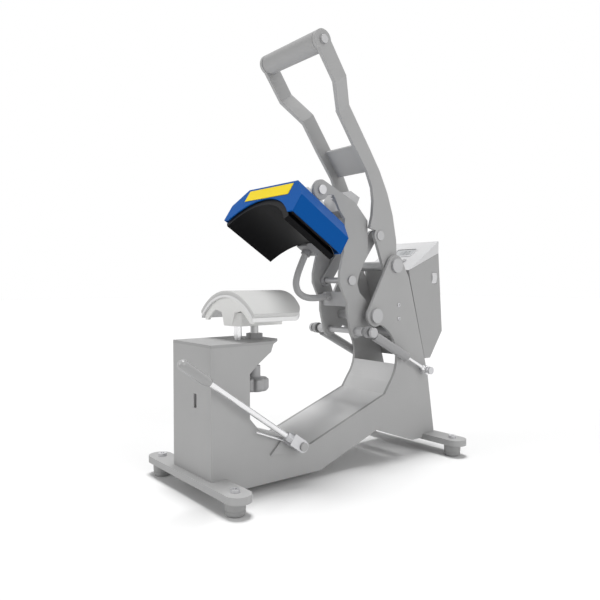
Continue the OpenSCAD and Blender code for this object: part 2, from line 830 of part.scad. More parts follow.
arm_outline = concat(
    arc(strut_fy, strut_fz, strut_lug_r, 190, 290, 8),
    arc(arm_y, arm_z, arm_back_r, -60, 70, 10),
    [[lerp(arm_y, waist_y, 0.33), lerp(arm_z, waist_z, 0.55)],
     [lerp(arm_y, waist_y, 0.75), lerp(arm_z, waist_z, 0.72)],
     [waist_y, waist_z], [lerp(arm_y, waist_y, 0.87), lerp(waist_z, elbow_z, 0.12)],
     [lerp(arm_y, waist_y, 0.12), lerp(waist_z, elbow_z, 0.43)], [arm_y, lerp(waist_z, elbow_z, 0.58)],
     [elbow_y, elbow_z], [shoulder_y, shoulder_z]],
    arc(lug_y, lug_z, lug_r, 57, 300, 18),
    [[lerp(lug_y, arm_neck_y, 0.5), arm_neck_z], [arm_neck_y, arm_neck_z],
     [lerp(arm_neck_y, arm_throat_y, 0.54), lerp(arm_neck_z, arm_throat_z, 0.64)], [arm_throat_y, arm_throat_z],
     [brow_y, brow_z], [lerp(nose_y, brow_y, 0.35), lerp(nose_z, brow_z, 0.4)], [nose_y, nose_z],
     [nose_y, lerp(strut_fz, nose_z, 0.84)], [lerp(nose_y, strut_fy, 0.24), lerp(strut_fz, nose_z, 0.65)],
     [lerp(nose_y, strut_fy, 0.45), lerp(strut_fz, nose_z, 0.5)],
     [lerp(nose_y, strut_fy, 0.45), lerp(strut_fz, nose_z, 0.35)]]);

module arm_plate(x0) {
    difference() {
        side_sheet(arm_outline, x0, arm_t);
        x_rod(arm_y, arm_z, x0 - cut, x0 + arm_t + cut, arm_shaft_r + run_fit);
        x_rod(strut_fy, strut_fz, x0 - cut, x0 + arm_t + cut, pin_r);
        x_rod(link_low_y, link_low_z, x0 - cut, x0 + arm_t + cut, pin_r);
        x_rod(lug_y, lug_z, x0 - cut, x0 + arm_t + cut, pin_r);
    }
}

module left_arm_plate() {
    color("darkgray") arm_plate(-arm_x);
}

module right_arm_plate() {
    color("darkgray") arm_plate(arm_x - arm_t);
}

// Cross members of the arm: the strut bar, and the block that carries the pressure screw
block_y = 66;
block_z = 430;
block_l = 22;
block_h = 36;

module arm_spacers() {
    bar_end = strut_x + eye_w;
    color("dimgray") union() {
        x_rod(strut_fy, strut_fz, -bar_end, bar_end, pin_r);
        for (s = [-1, 1]) {
            x_rod(strut_fy, strut_fz, s > 0 ? bar_end : -bar_end - pin_r,
                  s > 0 ? bar_end + pin_r : -bar_end, eye_r);
            x_rod(strut_fy, strut_fz, s > 0 ? arm_x : -frame_x, s > 0 ? frame_x : -arm_x, eye_r * 0.9);
        }
    }
    color("silver") difference() {
        translate([0, block_y, block_z]) rotate([-screw_a, 0, 0])
            translate([-arm_x + arm_t, -block_l / 2, -block_h / 2]) cube([arm_w - 2 * arm_t, block_l, block_h]);
        on_screw() translate([0, 0, -screw_l]) cylinder(h = 2 * screw_l, r = screw_r + run_fit);
    }
}

// Pressure screw, along the top of the arm
screw_a = 24.6;
screw_r = 5;
screw_l = 46;
screw_rise = 9;

module on_screw() {
    translate([0, block_y, block_z]) rotate([-screw_a, 0, 0]) translate([0, 0, screw_rise]) rotate([-90, 0, 0])
        children();
}

module pressure_screw() {
    nut_r = 8;
    color("whitesmoke") on_screw() union() {
        translate([0, 0, -screw_l / 2]) cylinder(h = screw_l, r = screw_r);
        translate([0, 0, block_l / 2 + gap]) cylinder(h = nut_r * 0.8, r = nut_r, $fn = 6);
        translate([0, 0, -block_l / 2 - gap - nut_r * 0.8]) cylinder(h = nut_r * 0.8, r = nut_r, $fn = 6);
        translate([0, 0, screw_l / 2 - gap]) cylinder(h = nut_r * 0.7, r = nut_r * 0.9);
    }
}

// Places its children on the head: y runs to its rear, z out of its top
module on_head() {
    translate([0, head_y, head_z]) rotate([-head_tilt, 0, 0]) children();
}

heat_in_r = pad_r + 2 * gap;
heat_crown_rise = 22.6;
heat_axis_rise = heat_crown_rise - heat_in_r;
heat_angle = 48;

// Outline of the cover's front in (x, z)
cover_outline = [
    [-head_w / 2, 0], [head_w / 2, 0], [head_w / 2, head_side_h], [head_top_w / 2, head_h],
    [-head_top_w / 2, head_h], [-head_w / 2, head_side_h]];
cover_inside = [
    [-head_w / 2 + head_wall, -cut], [head_w / 2 - head_wall, -cut],
    [head_w / 2 - head_wall, head_side_h - head_wall / 2], [head_top_w / 2 - head_wall / 2, head_h - head_wall],
    [-head_top_w / 2 + head_wall / 2, head_h - head_wall], [-head_w / 2 + head_wall, head_side_h - head_wall / 2]];

module across_head(y0, l) {
    translate([0, y0 + l, 0]) rotate([90, 0, 0]) linear_extrude(height = l) children();
}

module head_cover() {
    arch_r = heat_in_r + heat_t + gap;
    color("royalblue") on_head() difference() {
        across_head(0, head_l) polygon(cover_outline);
        across_head(head_wall, head_l - 2 * head_wall) polygon(cover_inside);
        across_head(-cut, head_l + 2 * cut) translate([0, heat_axis_rise]) circle(r = arch_r, $fn = 96);
        for (x = [-bracket_bolt_x, bracket_bolt_x]) translate([x, lug_reach, head_h - 2 * head_wall])
            cylinder(h = 4 * head_wall, r = bolt_r + run_fit);
        translate([box_x, head_l - 2 * head_wall, box_rise]) cube([box_w * 0.6, 4 * head_wall, box_h * 0.6]);
    }
}

module ring_sector(r_out, r_in, half_a) {
    intersection() {
        difference() {
            circle(r = r_out, $fn = 96);
            circle(r = r_in, $fn = 96);
        }
        polygon([[0, 0], [2 * r_out * sin(half_a), 2 * r_out * cos(half_a)],
                 [-2 * r_out * sin(half_a), 2 * r_out * cos(half_a)]]);
    }
}

heat_margin = 3;

module heat_platen() {
    color("black") on_head() across_head(heat_margin, head_l - 2 * heat_margin)
        translate([0, heat_axis_rise]) ring_sector(heat_in_r + heat_t, heat_in_r, heat_angle);
}

element_t = 3;

module heater_element() {
    color("sienna") on_head() across_head(4 * heat_margin, head_l - 8 * heat_margin)
        translate([0, heat_axis_rise])
            ring_sector(heat_in_r + heat_t + element_t, heat_in_r + heat_t + skin, heat_angle * 0.8);
}

module head_insulation() {
    lift = heat_in_r + heat_t + element_t + gap;
    color("ivory") on_head() across_head(head_wall + gap, head_l - 2 * head_wall - 2 * gap) difference() {
        polygon([for (p = cover_inside) [p[0] * 0.985, p[1] > 0 ? p[1] - gap : cut]]);
        translate([0, heat_axis_rise]) circle(r = lift, $fn = 96);
    }
}

label_w = 114;
label_h = 20;
label_t = 0.8;
label_rise = 43.5;

module label_plate() {
    color("gold") on_head() translate([-label_w / 2, -label_t, label_rise - label_h / 2])
        cube([label_w, label_t, label_h]);
}

// Bracket on the head's top, hung from the arm by a pin
bracket_bolt_x = 17;
saddle_w = 60;
saddle_l = 62;
saddle_t = 5;
ear_w = 6;
ear_back = 34;
ear_rise = 24;
ear_x = arm_x - arm_t - ear_w - gap;

module head_bracket() {
    color("whitesmoke") on_head() difference() {
        union() {
            translate([-saddle_w / 2, lug_reach - saddle_l / 2, head_h]) cube([saddle_w, saddle_l, saddle_t]);
            for (s = [-1, 1]) translate([s > 0 ? ear_x : -ear_x - ear_w, lug_reach, 0]) {
                translate([0, 0, lug_rise]) rotate([0, 90, 0]) cylinder(h = ear_w, r = lug_r * 0.8);
                translate([0, -lug_r * 0.8, head_h]) cube([ear_w, lug_r * 1.6, lug_rise - head_h]);
                rotate([90, 0, 90]) linear_extrude(height = ear_w)
                    polygon([[-saddle_l / 3, head_h], [ear_back, head_h], [ear_back, head_h + ear_rise / 2],
                             [lug_r, head_h + ear_rise], [-saddle_l / 3, head_h + ear_rise]]);
            }
            for (x = [-bracket_bolt_x, bracket_bolt_x]) translate([x, lug_reach, head_h + saddle_t])
                cylinder(h = bolt_head_h, r = bolt_head_r, $fn = 6);
            for (x = [-bracket_bolt_x, bracket_bolt_x]) translate([x, lug_reach, head_h - head_wall])
                cylinder(h = 2 * head_wall, r = bolt_r);
        }
        translate([-saddle_w, lug_reach, lug_rise]) rotate([0, 90, 0]) cylinder(h = 2 * saddle_w, r = pin_r);
    }
}

module head_pin() {
    color("silver") union() {
        x_rod(lug_y, lug_z, -arm_x, arm_x, pin_r);
        for (s = [-1, 1])
            x_rod(lug_y, lug_z, s > 0 ? arm_x : -arm_x - pin_head, s > 0 ? arm_x + pin_head : -arm_x, pin_r * 1.5);
    }
}

pin_head = 3.5;

// Terminal box behind the head, where the hose leaves
box_x = -29;
box_w = 26;
box_l = 28;
box_h = 30;
box_rise = 20;
hose_x = box_x + box_w / 2;
gland_l = 8;

module head_terminal_box() {
    color("dimgray") on_head() union() {
        translate([box_x, head_l, box_rise]) cube([box_w, box_l, box_h]);
        translate([hose_x, head_l + box_l / 2, box_rise - gland_l])
            cylinder(h = gland_l, r = hose_d * 0.72, $fn = 6);
    }
}

// Route of the hose in (y, z): out of the gland, down, and forward into the arm
hose_exit = head_point(head_l + box_l / 2, box_rise - gland_l);
hose_route = [
    [0, 337], [-5, 327], [-10, 316], [-13.5, 305], [-14, 296],
    [-10, 286], [-1, 279], [10, 275.5], [22, 274.5], [35, 275]];
hose_end = [48, 277];
hose_sides = 10;
hose_points = concat([hose_exit], hose_route, [hose_end]);

function hose_dir(i) = let (
    n = len(hose_points) - 1, a = hose_points[max(i - 1, 0)], b = hose_points[min(i + 1, n)],
    d = i == 0 ? [-sin(head_tilt), -cos(head_tilt)] : i == n ? [1, 0] : b - a) d / norm(d);

// One tube swept along the route: each ring stands square to the route
module supply_hose() {
    n = len(hose_points);
    m = hose_sides;
    r = hose_d / 2;
    rings = [for (i = [0 : n - 1]) let (p = hose_points[i], d = hose_dir(i)) for (j = [0 : m - 1])
        let (a = 360 * j / m) [hose_x + r * cos(a), p[0] - r * sin(a) * d[1], p[1] + r * sin(a) * d[0]]];
    sides = [for (i = [0 : n - 2]) for (j = [0 : m - 1]) let (k = (j + 1) % m)
        each [[i * m + j, i * m + k, (i + 1) * m + k], [i * m + j, (i + 1) * m + k, (i + 1) * m + j]]];
    caps = concat([for (j = [1 : m - 2]) [0, j + 1, j]],
                  [for (j = [1 : m - 2]) let (b = (n - 1) * m) [b, b + j, b + j + 1]]);
    color("gray") polyhedron(points = rings, faces = concat(sides, caps), convexity = 6);
}

module hose_gland() {
    wall = 4;
    color("dimgray") union() {
        translate([-arm_x + arm_t, hose_end[0] + gland_l, hose_end[1] - 2 * gland_l])
            cube([arm_w - 2 * arm_t, wall, 3 * gland_l]);
        translate([hose_x, hose_end[0], hose_end[1]]) rotate([-90, 0, 0])
            cylinder(h = gland_l, r = hose_d * 0.72, $fn = 6);
    }
}

// Handle lever: two cranked bars
lower_front = [[20, 572], [54, 524], [86, 482], [97, 458], [100, 436], [98, 412], [92, 391]];
lower_back = [[156, 349], [155, 373], [146, 415], [133, 451], [114, 487], [89, 523], [44, 585]];
lever_eye_r = 21;
link_eye_r = 13;

lower_outline = concat(
    lower_front,
    arc(link_top_y, link_top_z, link_eye_r, 140, 230, 6),
    arc(lever_y, lever_z, lever_eye_r, 200, 380, 14),
    lower_back);

jog_a = [32, 578.5];
jog_b = [5, 611];
jog_w = 27;

module bar_between(x0, p, q, w0, w1) {
    d = q - p;
    u = [-d[1], d[0]] / norm(d);
    side_sheet([p + u * w0 / 2, q + u * w1 / 2, q - u * w1 / 2, p - u * w0 / 2], x0, lever_t);
}

module lever_bar(side) {
    low_x = side > 0 ? lever_x - lever_t : -lever_x;
    top_x = side > 0 ? fork_w / 2 - lever_t : -fork_w / 2;
    difference() {
        union() {
            side_sheet(lower_outline, low_x, lever_t);
            hull() {
                bar_between(low_x, lerp(jog_a, jog_b, -0.08), jog_a, jog_w, jog_w);
                bar_between(top_x, jog_b, lerp(jog_b, [grip_y, grip_z], 0.05), jog_w, jog_w);
            }
            bar_between(top_x, jog_b, [grip_y, grip_z], jog_w, upper_w + 4);
            x_rod(grip_y, grip_z, top_x, top_x + lever_t, grip_r);
        }
        x_rod(lever_y, lever_z, low_x - cut, low_x + lever_t + cut, lever_shaft_r + run_fit);
        x_rod(link_top_y, link_top_z, low_x - cut, low_x + lever_t + cut, pin_r);
        x_rod(grip_y, grip_z, top_x - cut, top_x + lever_t + cut, bolt_r);
    }
}

module left_lever_bar() {
    color("darkgray") lever_bar(-1);
}

module right_lever_bar() {
    color("darkgray") lever_bar(1);
}

cross_t = 5;
cross_a = 53.5;
cross_l = 50;
cross_y = 74;
cross_z = 529;

module lever_cross_plate() {
    color("darkgray") translate([0, cross_y, cross_z]) rotate([-cross_a, 0, 0]) union() {
        translate([-lever_x + lever_t, 0, -cross_t]) cube([lever_w - 2 * lever_t, cross_l, cross_t]);
        translate([0, cross_l * 0.42, 0]) cylinder(h = bolt_head_h, r = bolt_head_r, $fn = 6);
    }
}

module handle_grip() {
    inner_l = fork_w - 2 * lever_t;
    color("darkgray") difference() {
        x_rod(grip_y, grip_z, -inner_l / 2, inner_l / 2, grip_r);
        x_rod(grip_y, grip_z, -inner_l, inner_l, bolt_r);
    }
}

module grip_bolts() {
    end_x = fork_w / 2;
    color("silver") union() {
        x_rod(grip_y, grip_z, -end_x, end_x, bolt_r);
        for (s = [-1, 1])
            x_rod(grip_y, grip_z, s > 0 ? end_x : -end_x - bolt_head_h,
                  s > 0 ? end_x + bolt_head_h : -end_x, bolt_head_r);
    }
}

// Toggle links between the lever and the arm
link_x = arm_x - arm_t - gap * 2;
link_t = 5;
link_w = 20;
link_slack = 0.7;

module upper_link_pin() {
    color("silver") union() {
        x_rod(link_top_y, link_top_z, -lever_x, lever_x, pin_r);
        for (s = [-1, 1])
            x_rod(link_top_y, link_top_z, s > 0 ? lever_x : -lever_x - gap * 6,
                  s > 0 ? lever_x + gap * 6 : -lever_x, pin_r * 1.6);
    }
}

module lower_link_pin() {
    color("silver") union() {
        x_rod(link_low_y, link_low_z, -arm_x, arm_x, pin_r);
        for (s = [-1, 1])
            x_rod(link_low_y, link_low_z, s > 0 ? arm_x : -arm_x - pin_head,
                  s > 0 ? arm_x + pin_head : -arm_x, pin_r * 1.6);
    }
}

module toggle_links() {
    d = [link_top_y - link_low_y, link_top_z - link_low_z];
    u = [-d[1], d[0]] / norm(d) * link_w / 2;
    a = [link_low_y, link_low_z];
    b = [link_top_y, link_top_z];
    color("silver") for (s = [-1, 1]) {
        x0 = s > 0 ? link_x - link_t : -link_x;
        difference() {
            union() {
                side_sheet([a + u, b + u, b - u, a - u], x0, link_t);
                x_rod(a[0], a[1], x0, x0 + link_t, link_w / 2);
                x_rod(b[0], b[1], x0, x0 + link_t, link_w / 2);
            }
            x_rod(a[0], a[1], x0 - cut, x0 + link_t + cut, pin_r + link_slack);
            x_rod(b[0], b[1], x0 - cut, x0 + link_t + cut, pin_r + run_fit);
        }
    }
}

// Gas struts: the cylinder's eye sits loosely on the arm's bar, the rod's eye on the frame's stud
strut_a = atan2(strut_fz - strut_rz, strut_fy - strut_ry);
strut_span = norm([strut_fz - strut_rz, strut_fy - strut_ry]);
strut_slack = 1.3;

// Places its children on a strut: z runs from the rear eye to the front eye
module on_strut(side) {
    translate([side * strut_x, strut_ry, strut_rz]) rotate([90 - (180 - strut_a), 0, 0]) children();
}

module strut_cylinder(side) {
    neck_l = 14;
    difference() {
        on_strut(side) union() {
            translate([0, 0, strut_span - neck_l - strut_l]) cylinder(h = strut_l, r = strut_r);
            translate([0, 0, strut_span - neck_l - gap])
                cylinder(h = neck_l - eye_r + 2 * gap, r = strut_r * 0.6);
            translate([-eye_w / 2, 0, strut_span]) rotate([0, 90, 0])
                cylinder(h = eye_w, r = eye_r + strut_slack);
        }
        x_rod(strut_fy, strut_fz, side * strut_x - strut_r, side * strut_x + strut_r, pin_r + strut_slack);
        on_strut(side) translate([0, 0, strut_span - neck_l - strut_l - cut])
            cylinder(h = strut_l - strut_r + cut, r = strut_rod_r + run_fit);
    }
}

module strut_rod(side) {
    stroke = 21;
    rod_end = strut_span - 14 - strut_r - 2 * cut - stroke;
    difference() {
        on_strut(side) union() {
            translate([0, 0, eye_r - gap]) cylinder(h = rod_end - eye_r, r = strut_rod_r);
            translate([0, 0, eye_r - gap]) cylinder(h = eye_r * 0.8, r = strut_rod_r * 1.6, $fn = 6);
            translate([-eye_w / 2, 0, 0]) rotate([0, 90, 0]) cylinder(h = eye_w, r = eye_r);
        }
        x_rod(strut_ry, strut_rz, side * strut_x - eye_w, side * strut_x + eye_w, stud_r + run_fit);
    }
}

module left_strut_cylinder() {
    color("dimgray") strut_cylinder(-1);
}

module left_strut_rod() {
    color("whitesmoke") strut_rod(-1);
}

module right_strut_cylinder() {
    color("dimgray") strut_cylinder(1);
}

module right_strut_rod() {
    color("whitesmoke") strut_rod(1);
}

left_side_plate();
right_side_plate();
tower_front_plate();
neck_cover();
table_plate();
front_foot_bar();
rear_foot_bar();
rubber_feet();
foot_bolts();
frame_spacers();
control_case();
control_panel();
display_window();
button_set();
button_up();
button_down();
power_switch();
power_inlet();
control_board();
lever_shaft();
arm_shaft();
strut_studs();
post_collar();
lower_pad();
lower_platen_shell();
lower_bracket();
guide_post();
threaded_post();
clamp_knob();
hold_down_bracket();
hold_down_rod();
hold_down_grip();
hold_down_fork();
hold_down_hook();
left_arm_plate();
right_arm_plate();
arm_spacers();
head_bracket();
head_pin();
head_cover();
heat_platen();
heater_element();
head_insulation();
label_plate();
head_terminal_box();
supply_hose();
hose_gland();
pressure_screw();
left_lever_bar();
right_lever_bar();
lever_cross_plate();
handle_grip();
grip_bolts();
upper_link_pin();
toggle_links();
lower_link_pin();
left_strut_cylinder();
left_strut_rod();
right_strut_cylinder();
right_strut_rod();
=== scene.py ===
"""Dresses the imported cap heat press: finishes, hose, pads, grips, knob, feet, screws and panel details."""

import logging
import math
from dataclasses import dataclass
from enum import Enum, auto

import bmesh
import bpy
import numpy as np
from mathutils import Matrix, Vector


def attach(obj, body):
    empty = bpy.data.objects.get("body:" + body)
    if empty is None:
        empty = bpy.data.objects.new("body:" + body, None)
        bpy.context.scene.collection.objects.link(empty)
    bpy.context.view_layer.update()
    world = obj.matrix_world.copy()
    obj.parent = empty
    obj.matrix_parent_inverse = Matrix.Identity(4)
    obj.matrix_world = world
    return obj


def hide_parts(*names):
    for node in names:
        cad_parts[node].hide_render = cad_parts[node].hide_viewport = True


LOG = logging.getLogger("cap_press")
# Sizes are in millimetres and the scene is in metres.
MM = 0.001
# Points closer than this, in metres, are one point.
JOIN_M = 1e-6
# Edges that turn by more than this stay sharp.
SHARP_DEG = 38.0
# A profile starts this far off its axis, in millimetres, so that its closing face isn't a point.
POLE = 0.05
FULL_TURN = 2.0 * math.pi
X_AXIS = np.array([1.0, 0.0, 0.0])
Z_AXIS = np.array([0.0, 0.0, 1.0])
# A skin that rests on another part ends this far off it, in millimetres.
GAP = 0.02
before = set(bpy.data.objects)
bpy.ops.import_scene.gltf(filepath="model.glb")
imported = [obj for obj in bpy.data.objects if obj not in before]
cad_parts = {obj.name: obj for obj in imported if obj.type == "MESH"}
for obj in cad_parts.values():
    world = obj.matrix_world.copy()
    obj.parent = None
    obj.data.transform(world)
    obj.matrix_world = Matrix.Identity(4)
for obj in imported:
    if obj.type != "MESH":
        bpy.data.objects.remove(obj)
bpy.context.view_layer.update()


def linear(hex_colour: str) -> tuple[float, float, float, float]:
    """Turns an sRGB hex colour to Blender's linear values.

    Formula: the sRGB curve, which is straight near black and a power of 2.4 above that.

    Args:
        hex_colour: six digits after a hash sign.

    Returns:
        Red, green, blue and alpha, linear.
    """
    srgb = np.array([int(hex_colour[i:i + 2], 16) for i in (1, 3, 5)]) / 255.0
    lin = np.where(srgb <= 0.04045, srgb / 12.92, ((srgb + 0.055) / 1.055) ** 2.4)
    return (float(lin[0]), float(lin[1]), float(lin[2]), 1.0)


def add_node(tree: bpy.types.NodeTree, kind: str, sockets: dict | None = None,
             **settings: object) -> bpy.types.Node:
    """Adds one node with its settings and links.

    Args:
        tree: the material's node tree.
        kind: the node's Blender type.
        sockets: input name or index, with a value or an output socket to link.
        settings: properties of the node itself.

    Returns:
        The new node.
    """
    node = tree.nodes.new(kind)
    for key, value in settings.items():
        setattr(node, key, value)
    for key, value in (sockets or {}).items():
        if isinstance(value, bpy.types.NodeSocket):
            tree.links.new(value, node.inputs[key])
        else:
            node.inputs[key].default_value = value
    return node


class Surface(Enum):
    """How a surface was made, which decides its pattern."""

    POWDER = auto()
    GLOSS_PAINT = auto()
    BRUSHED = auto()
    POLISHED = auto()
    MOULDED = auto()
    FOAM = auto()
    RINGS = auto()
    WOVEN = auto()


@dataclass(frozen=True)
class Finish:
    """One real material, with the values that its shader starts from."""

    name: str
    colour: str
    surface: Surface
    roughness: float
    metallic: float = 0.0
    specular: float = 0.5
    grain_mm: float = 1.0
    relief: float = 0.1
    mottle: float = 0.04
    coat: float = 0.0
    edge_mm: float = 0.5
    along: tuple[float, float, float] = (1.0, 1.0, 1.0)
    turn_deg: float = 0.0
    braid_deg: float = 45.0
    ring_scale: float = 0.159
    cloud_scale: float = 22.0
    gloss_swing: float = 0.05
    grain_depth_share: float = 0.25
    coat_roughness: float = 0.12

    def pattern(self, tree: bpy.types.NodeTree) -> bpy.types.NodeSocket:
        """Makes the fine pattern, at its real scale in millimetres.

        Args:
            tree: the material's node tree.

        Returns:
            A height between 0 and 1.
        """
        per_metre = 1.0 / (self.grain_mm * MM)
        if self.surface is Surface.WOVEN:
            coords = add_node(tree, "ShaderNodeUVMap", uv_map="real_metres")
            braid = add_node(tree, "ShaderNodeMapping",
                             {"Vector": coords.outputs["UV"], "Scale": (per_metre, per_metre, 1.0),
                              "Rotation": (0.0, 0.0, math.radians(self.braid_deg))})
            squares = add_node(tree, "ShaderNodeTexChecker", {"Vector": braid.outputs[0], "Scale": 1.0})
            return squares.outputs["Fac"]
        coords = add_node(tree, "ShaderNodeTexCoord")
        mapped = add_node(tree, "ShaderNodeMapping",
                          {"Vector": coords.outputs["Object"],
                           "Scale": tuple(per_metre * a for a in self.along),
                           "Rotation": (math.radians(self.turn_deg), 0.0, 0.0)})
        if self.surface is Surface.RINGS:
            rings = add_node(tree, "ShaderNodeTexWave",
                             {"Vector": mapped.outputs[0], "Scale": self.ring_scale, "Distortion": 0.0},
                             wave_type="BANDS", bands_direction="Y")
            return rings.outputs["Fac"]
        if self.surface is Surface.FOAM:
            pores = add_node(tree, "ShaderNodeTexVoronoi", {"Vector": mapped.outputs[0], "Scale": 1.0})
            return pores.outputs["Distance"]
        grain = add_node(tree, "ShaderNodeTexNoise",
                         {"Vector": mapped.outputs[0], "Scale": 1.0, "Detail": 3.0, "Roughness": 0.55})
        return grain.outputs["Fac"]

    def build(self) -> bpy.types.Material:
        """Makes the material, once for each finish.

        Returns:
            The Blender material.
        """
        known = bpy.data.materials.get(self.name)
        if known is not None:
            return known
        material = bpy.data.materials.new(self.name)
        material.use_nodes = True
        tree = material.node_tree
        tree.nodes.clear()
        base = linear(self.colour)
        coords = add_node(tree, "ShaderNodeTexCoord")
        cloud = add_node(tree, "ShaderNodeTexNoise",
                         {"Vector": coords.outputs["Object"], "Scale": self.cloud_scale, "Detail": 4.0,
                          "Roughness": 0.6})
        dark = tuple(c * (1.0 - self.mottle) for c in base[:3]) + (1.0,)
        light = tuple(min(1.0, c * (1.0 + self.mottle)) for c in base[:3]) + (1.0,)
        tint = add_node(tree, "ShaderNodeMix", {0: cloud.outputs["Fac"], 6: dark, 7: light}, data_type="RGBA")
        height = self.pattern(tree)
        rough = add_node(tree, "ShaderNodeMapRange",
                         {"Value": height, "To Min": self.roughness - self.gloss_swing,
                          "To Max": self.roughness + self.gloss_swing})
        rounded = add_node(tree, "ShaderNodeBevel", {"Radius": self.edge_mm * MM}, samples=4)
        bump = add_node(tree, "ShaderNodeBump",
                        {"Height": height, "Strength": self.relief,
                         "Distance": self.grain_depth_share * self.grain_mm * MM,
                         "Normal": rounded.outputs["Normal"]})
        shader = add_node(tree, "ShaderNodeBsdfPrincipled",
                          {"Base Color": tint.outputs[2], "Roughness": rough.outputs[0],
                           "Normal": bump.outputs["Normal"], "Metallic": self.metallic,
                           "Specular IOR Level": self.specular, "Coat Weight": self.coat,
                           "Coat Roughness": self.coat_roughness})
        add_node(tree, "ShaderNodeOutputMaterial", {"Surface": shader.outputs[0]})
        return material


# The photograph shows the whole press but its head through a pale veil, so its paint is mid grey here.
FRAME_PAINT = Finish("powder_coated_steel", "#A9A9A9", Surface.POWDER, 0.62, specular=0.25, grain_mm=1.4,
                     relief=0.12)
# The same powder coat on the table plate: a shade darker, since the light from above falls straight on it.
TABLE_PAINT = Finish("powder_coated_cover", "#9E9E9E", Surface.POWDER, 0.60, specular=0.30, grain_mm=1.4,
                     relief=0.12)
# Sloped cover in the neck: the same powder coat painted paler, as painted light that lifts it out of the
# shade between the side plates.
NECK_PAINTED_LIGHT = Finish("powder_coated_neck_painted_light", "#D6D6D6", Surface.POWDER, 0.60, specular=0.25, grain_mm=1.4,
                    relief=0.12)
# Arm plates and case: the same coat, a shade darker.
CASE_PAINT = Finish("powder_coated_case", "#A6A6A6", Surface.POWDER, 0.64, specular=0.22, grain_mm=1.4,
                    relief=0.12)
# Gloss enamel on folded steel: deep blue, with a soft highlight along each fold.
BLUE_ENAMEL = Finish("gloss_blue_enamel", "#05509A", Surface.GLOSS_PAINT, 0.42, specular=0.05, grain_mm=2.5,
                     relief=0.05, mottle=0.03, coat=0.03, edge_mm=1.2)
# Non-stick coating on cast aluminium: near black, with a low broad sheen.
NON_STICK = Finish("non_stick_coating", "#040406", Surface.POWDER, 0.45, specular=0.12, grain_mm=0.9,
                   relief=0.10)
# Zinc-plated steel: cool grey, slightly broken reflections.
ZINC = Finish("zinc_plated_steel", "#C9C9CB", Surface.BRUSHED, 0.36, metallic=0.75, grain_mm=0.8, relief=0.05,
              along=(0.08, 1.0, 1.0))
# Satin zinc on pins and links, near the frame's grey under the veil, with a soft sheen.
PIN_ZINC = Finish("satin_zinc_pins", "#B4B4B5", Surface.BRUSHED, 0.42, metallic=0.45, grain_mm=0.8,
                  relief=0.05, along=(0.08, 1.0, 1.0))
# Hard chrome on rods and posts: bright with dark and light lines.
CHROME = Finish("hard_chrome", "#EDEDEE", Surface.POLISHED, 0.14, metallic=0.9, grain_mm=6.0, relief=0.01,
                mottle=0.01)
# Rolled thread: fine upright rings, a few millimetres apart along the screw.
THREAD = Finish("rolled_thread_steel", "#BEBEC0", Surface.RINGS, 0.34, metallic=0.7, grain_mm=1.5, relief=0.8,
                along=(0.0, 1.0, 0.0), turn_deg=24.6)
# White enamel on the pressed brackets: clean and half gloss.
WHITE_ENAMEL = Finish("white_enamel", "#E4E4E2", Surface.GLOSS_PAINT, 0.45, grain_mm=3.0, relief=0.06,
                      mottle=0.02)
# Machined aluminium under the pad: pale, with fine tool lines.
ALUMINIUM = Finish("machined_aluminium", "#DADADA", Surface.BRUSHED, 0.40, metallic=0.35, grain_mm=0.9,
                   relief=0.08, along=(1.0, 0.05, 1.0))
# Silicone sponge: matt, closed skin with very fine pores.
SILICONE = Finish("silicone_sponge", "#C4C4C3", Surface.FOAM, 0.78, specular=0.25, grain_mm=0.7, relief=0.10,
                  mottle=0.02, edge_mm=1.0)
# Nitrile foam on the handle: matt, with pores.
GRIP_FOAM = Finish("nitrile_foam", "#A6A6A6", Surface.FOAM, 0.80, specular=0.20, grain_mm=0.9, relief=0.22,
                   edge_mm=1.0)
# Moulded ABS: small parts in the veil's grey, lightly sparked.
ABS_GREY = Finish("moulded_abs", "#A8A8A9", Surface.MOULDED, 0.50, grain_mm=0.8, relief=0.10)
# Polished phenolic grip on the hold-down lever: hard and glossy, with a thin highlight.
PHENOLIC = Finish("polished_phenolic", "#9C9C9C", Surface.POLISHED, 0.22, grain_mm=8.0, relief=0.01, coat=0.3)
# Pale ABS of the control panel and its rims: fine, even texture.
ABS_PALE = Finish("pale_abs", "#CFCFD0", Surface.MOULDED, 0.42, grain_mm=0.9, relief=0.08)
# Darker ABS of the box behind the head and of the inlet: half matt, with a fine grain.
ABS_DARK = Finish("dark_abs", "#7E7E80", Surface.MOULDED, 0.48, grain_mm=0.8, relief=0.10)
# Tinted acrylic over the display: smooth and glossy.
ACRYLIC = Finish("tinted_acrylic", "#A9ABAD", Surface.POLISHED, 0.12, grain_mm=9.0, relief=0.0, coat=0.5)
# Unlit segments of the display, darker than the window.
SEGMENT = Finish("unlit_segments", "#8A8C8E", Surface.MOULDED, 0.5, grain_mm=4.0, relief=0.0, mottle=0.0)
# Vulcanised rubber feet: matt, with a little grain.
RUBBER = Finish("vulcanised_rubber", "#9B9B9B", Surface.MOULDED, 0.80, specular=0.2, grain_mm=1.1,
                relief=0.18)
# Silicone-coated glass sleeve on the hose: fine braid under a matt skin.
SLEEVE = Finish("coated_glass_sleeve", "#A2A2A3", Surface.WOVEN, 0.66, specular=0.3, grain_mm=1.6,
                relief=0.25)
# Plain yellow plate on the head, with no print.
YELLOW = Finish("yellow_lacquered_plate", "#EBD010", Surface.GLOSS_PAINT, 0.38, specular=0.15, grain_mm=3.0,
                relief=0.03, mottle=0.02)
# Gloss paint on the gas springs' tubes: a narrow highlight along each.
TUBE_PAINT = Finish("gas_spring_tube_paint", "#949495", Surface.GLOSS_PAINT, 0.30, grain_mm=3.0, relief=0.03,
                    coat=0.2)
# Epoxy-glass board: green and even.
BOARD = Finish("epoxy_glass_board", "#2E6B3C", Surface.MOULDED, 0.45, grain_mm=1.5, relief=0.05)
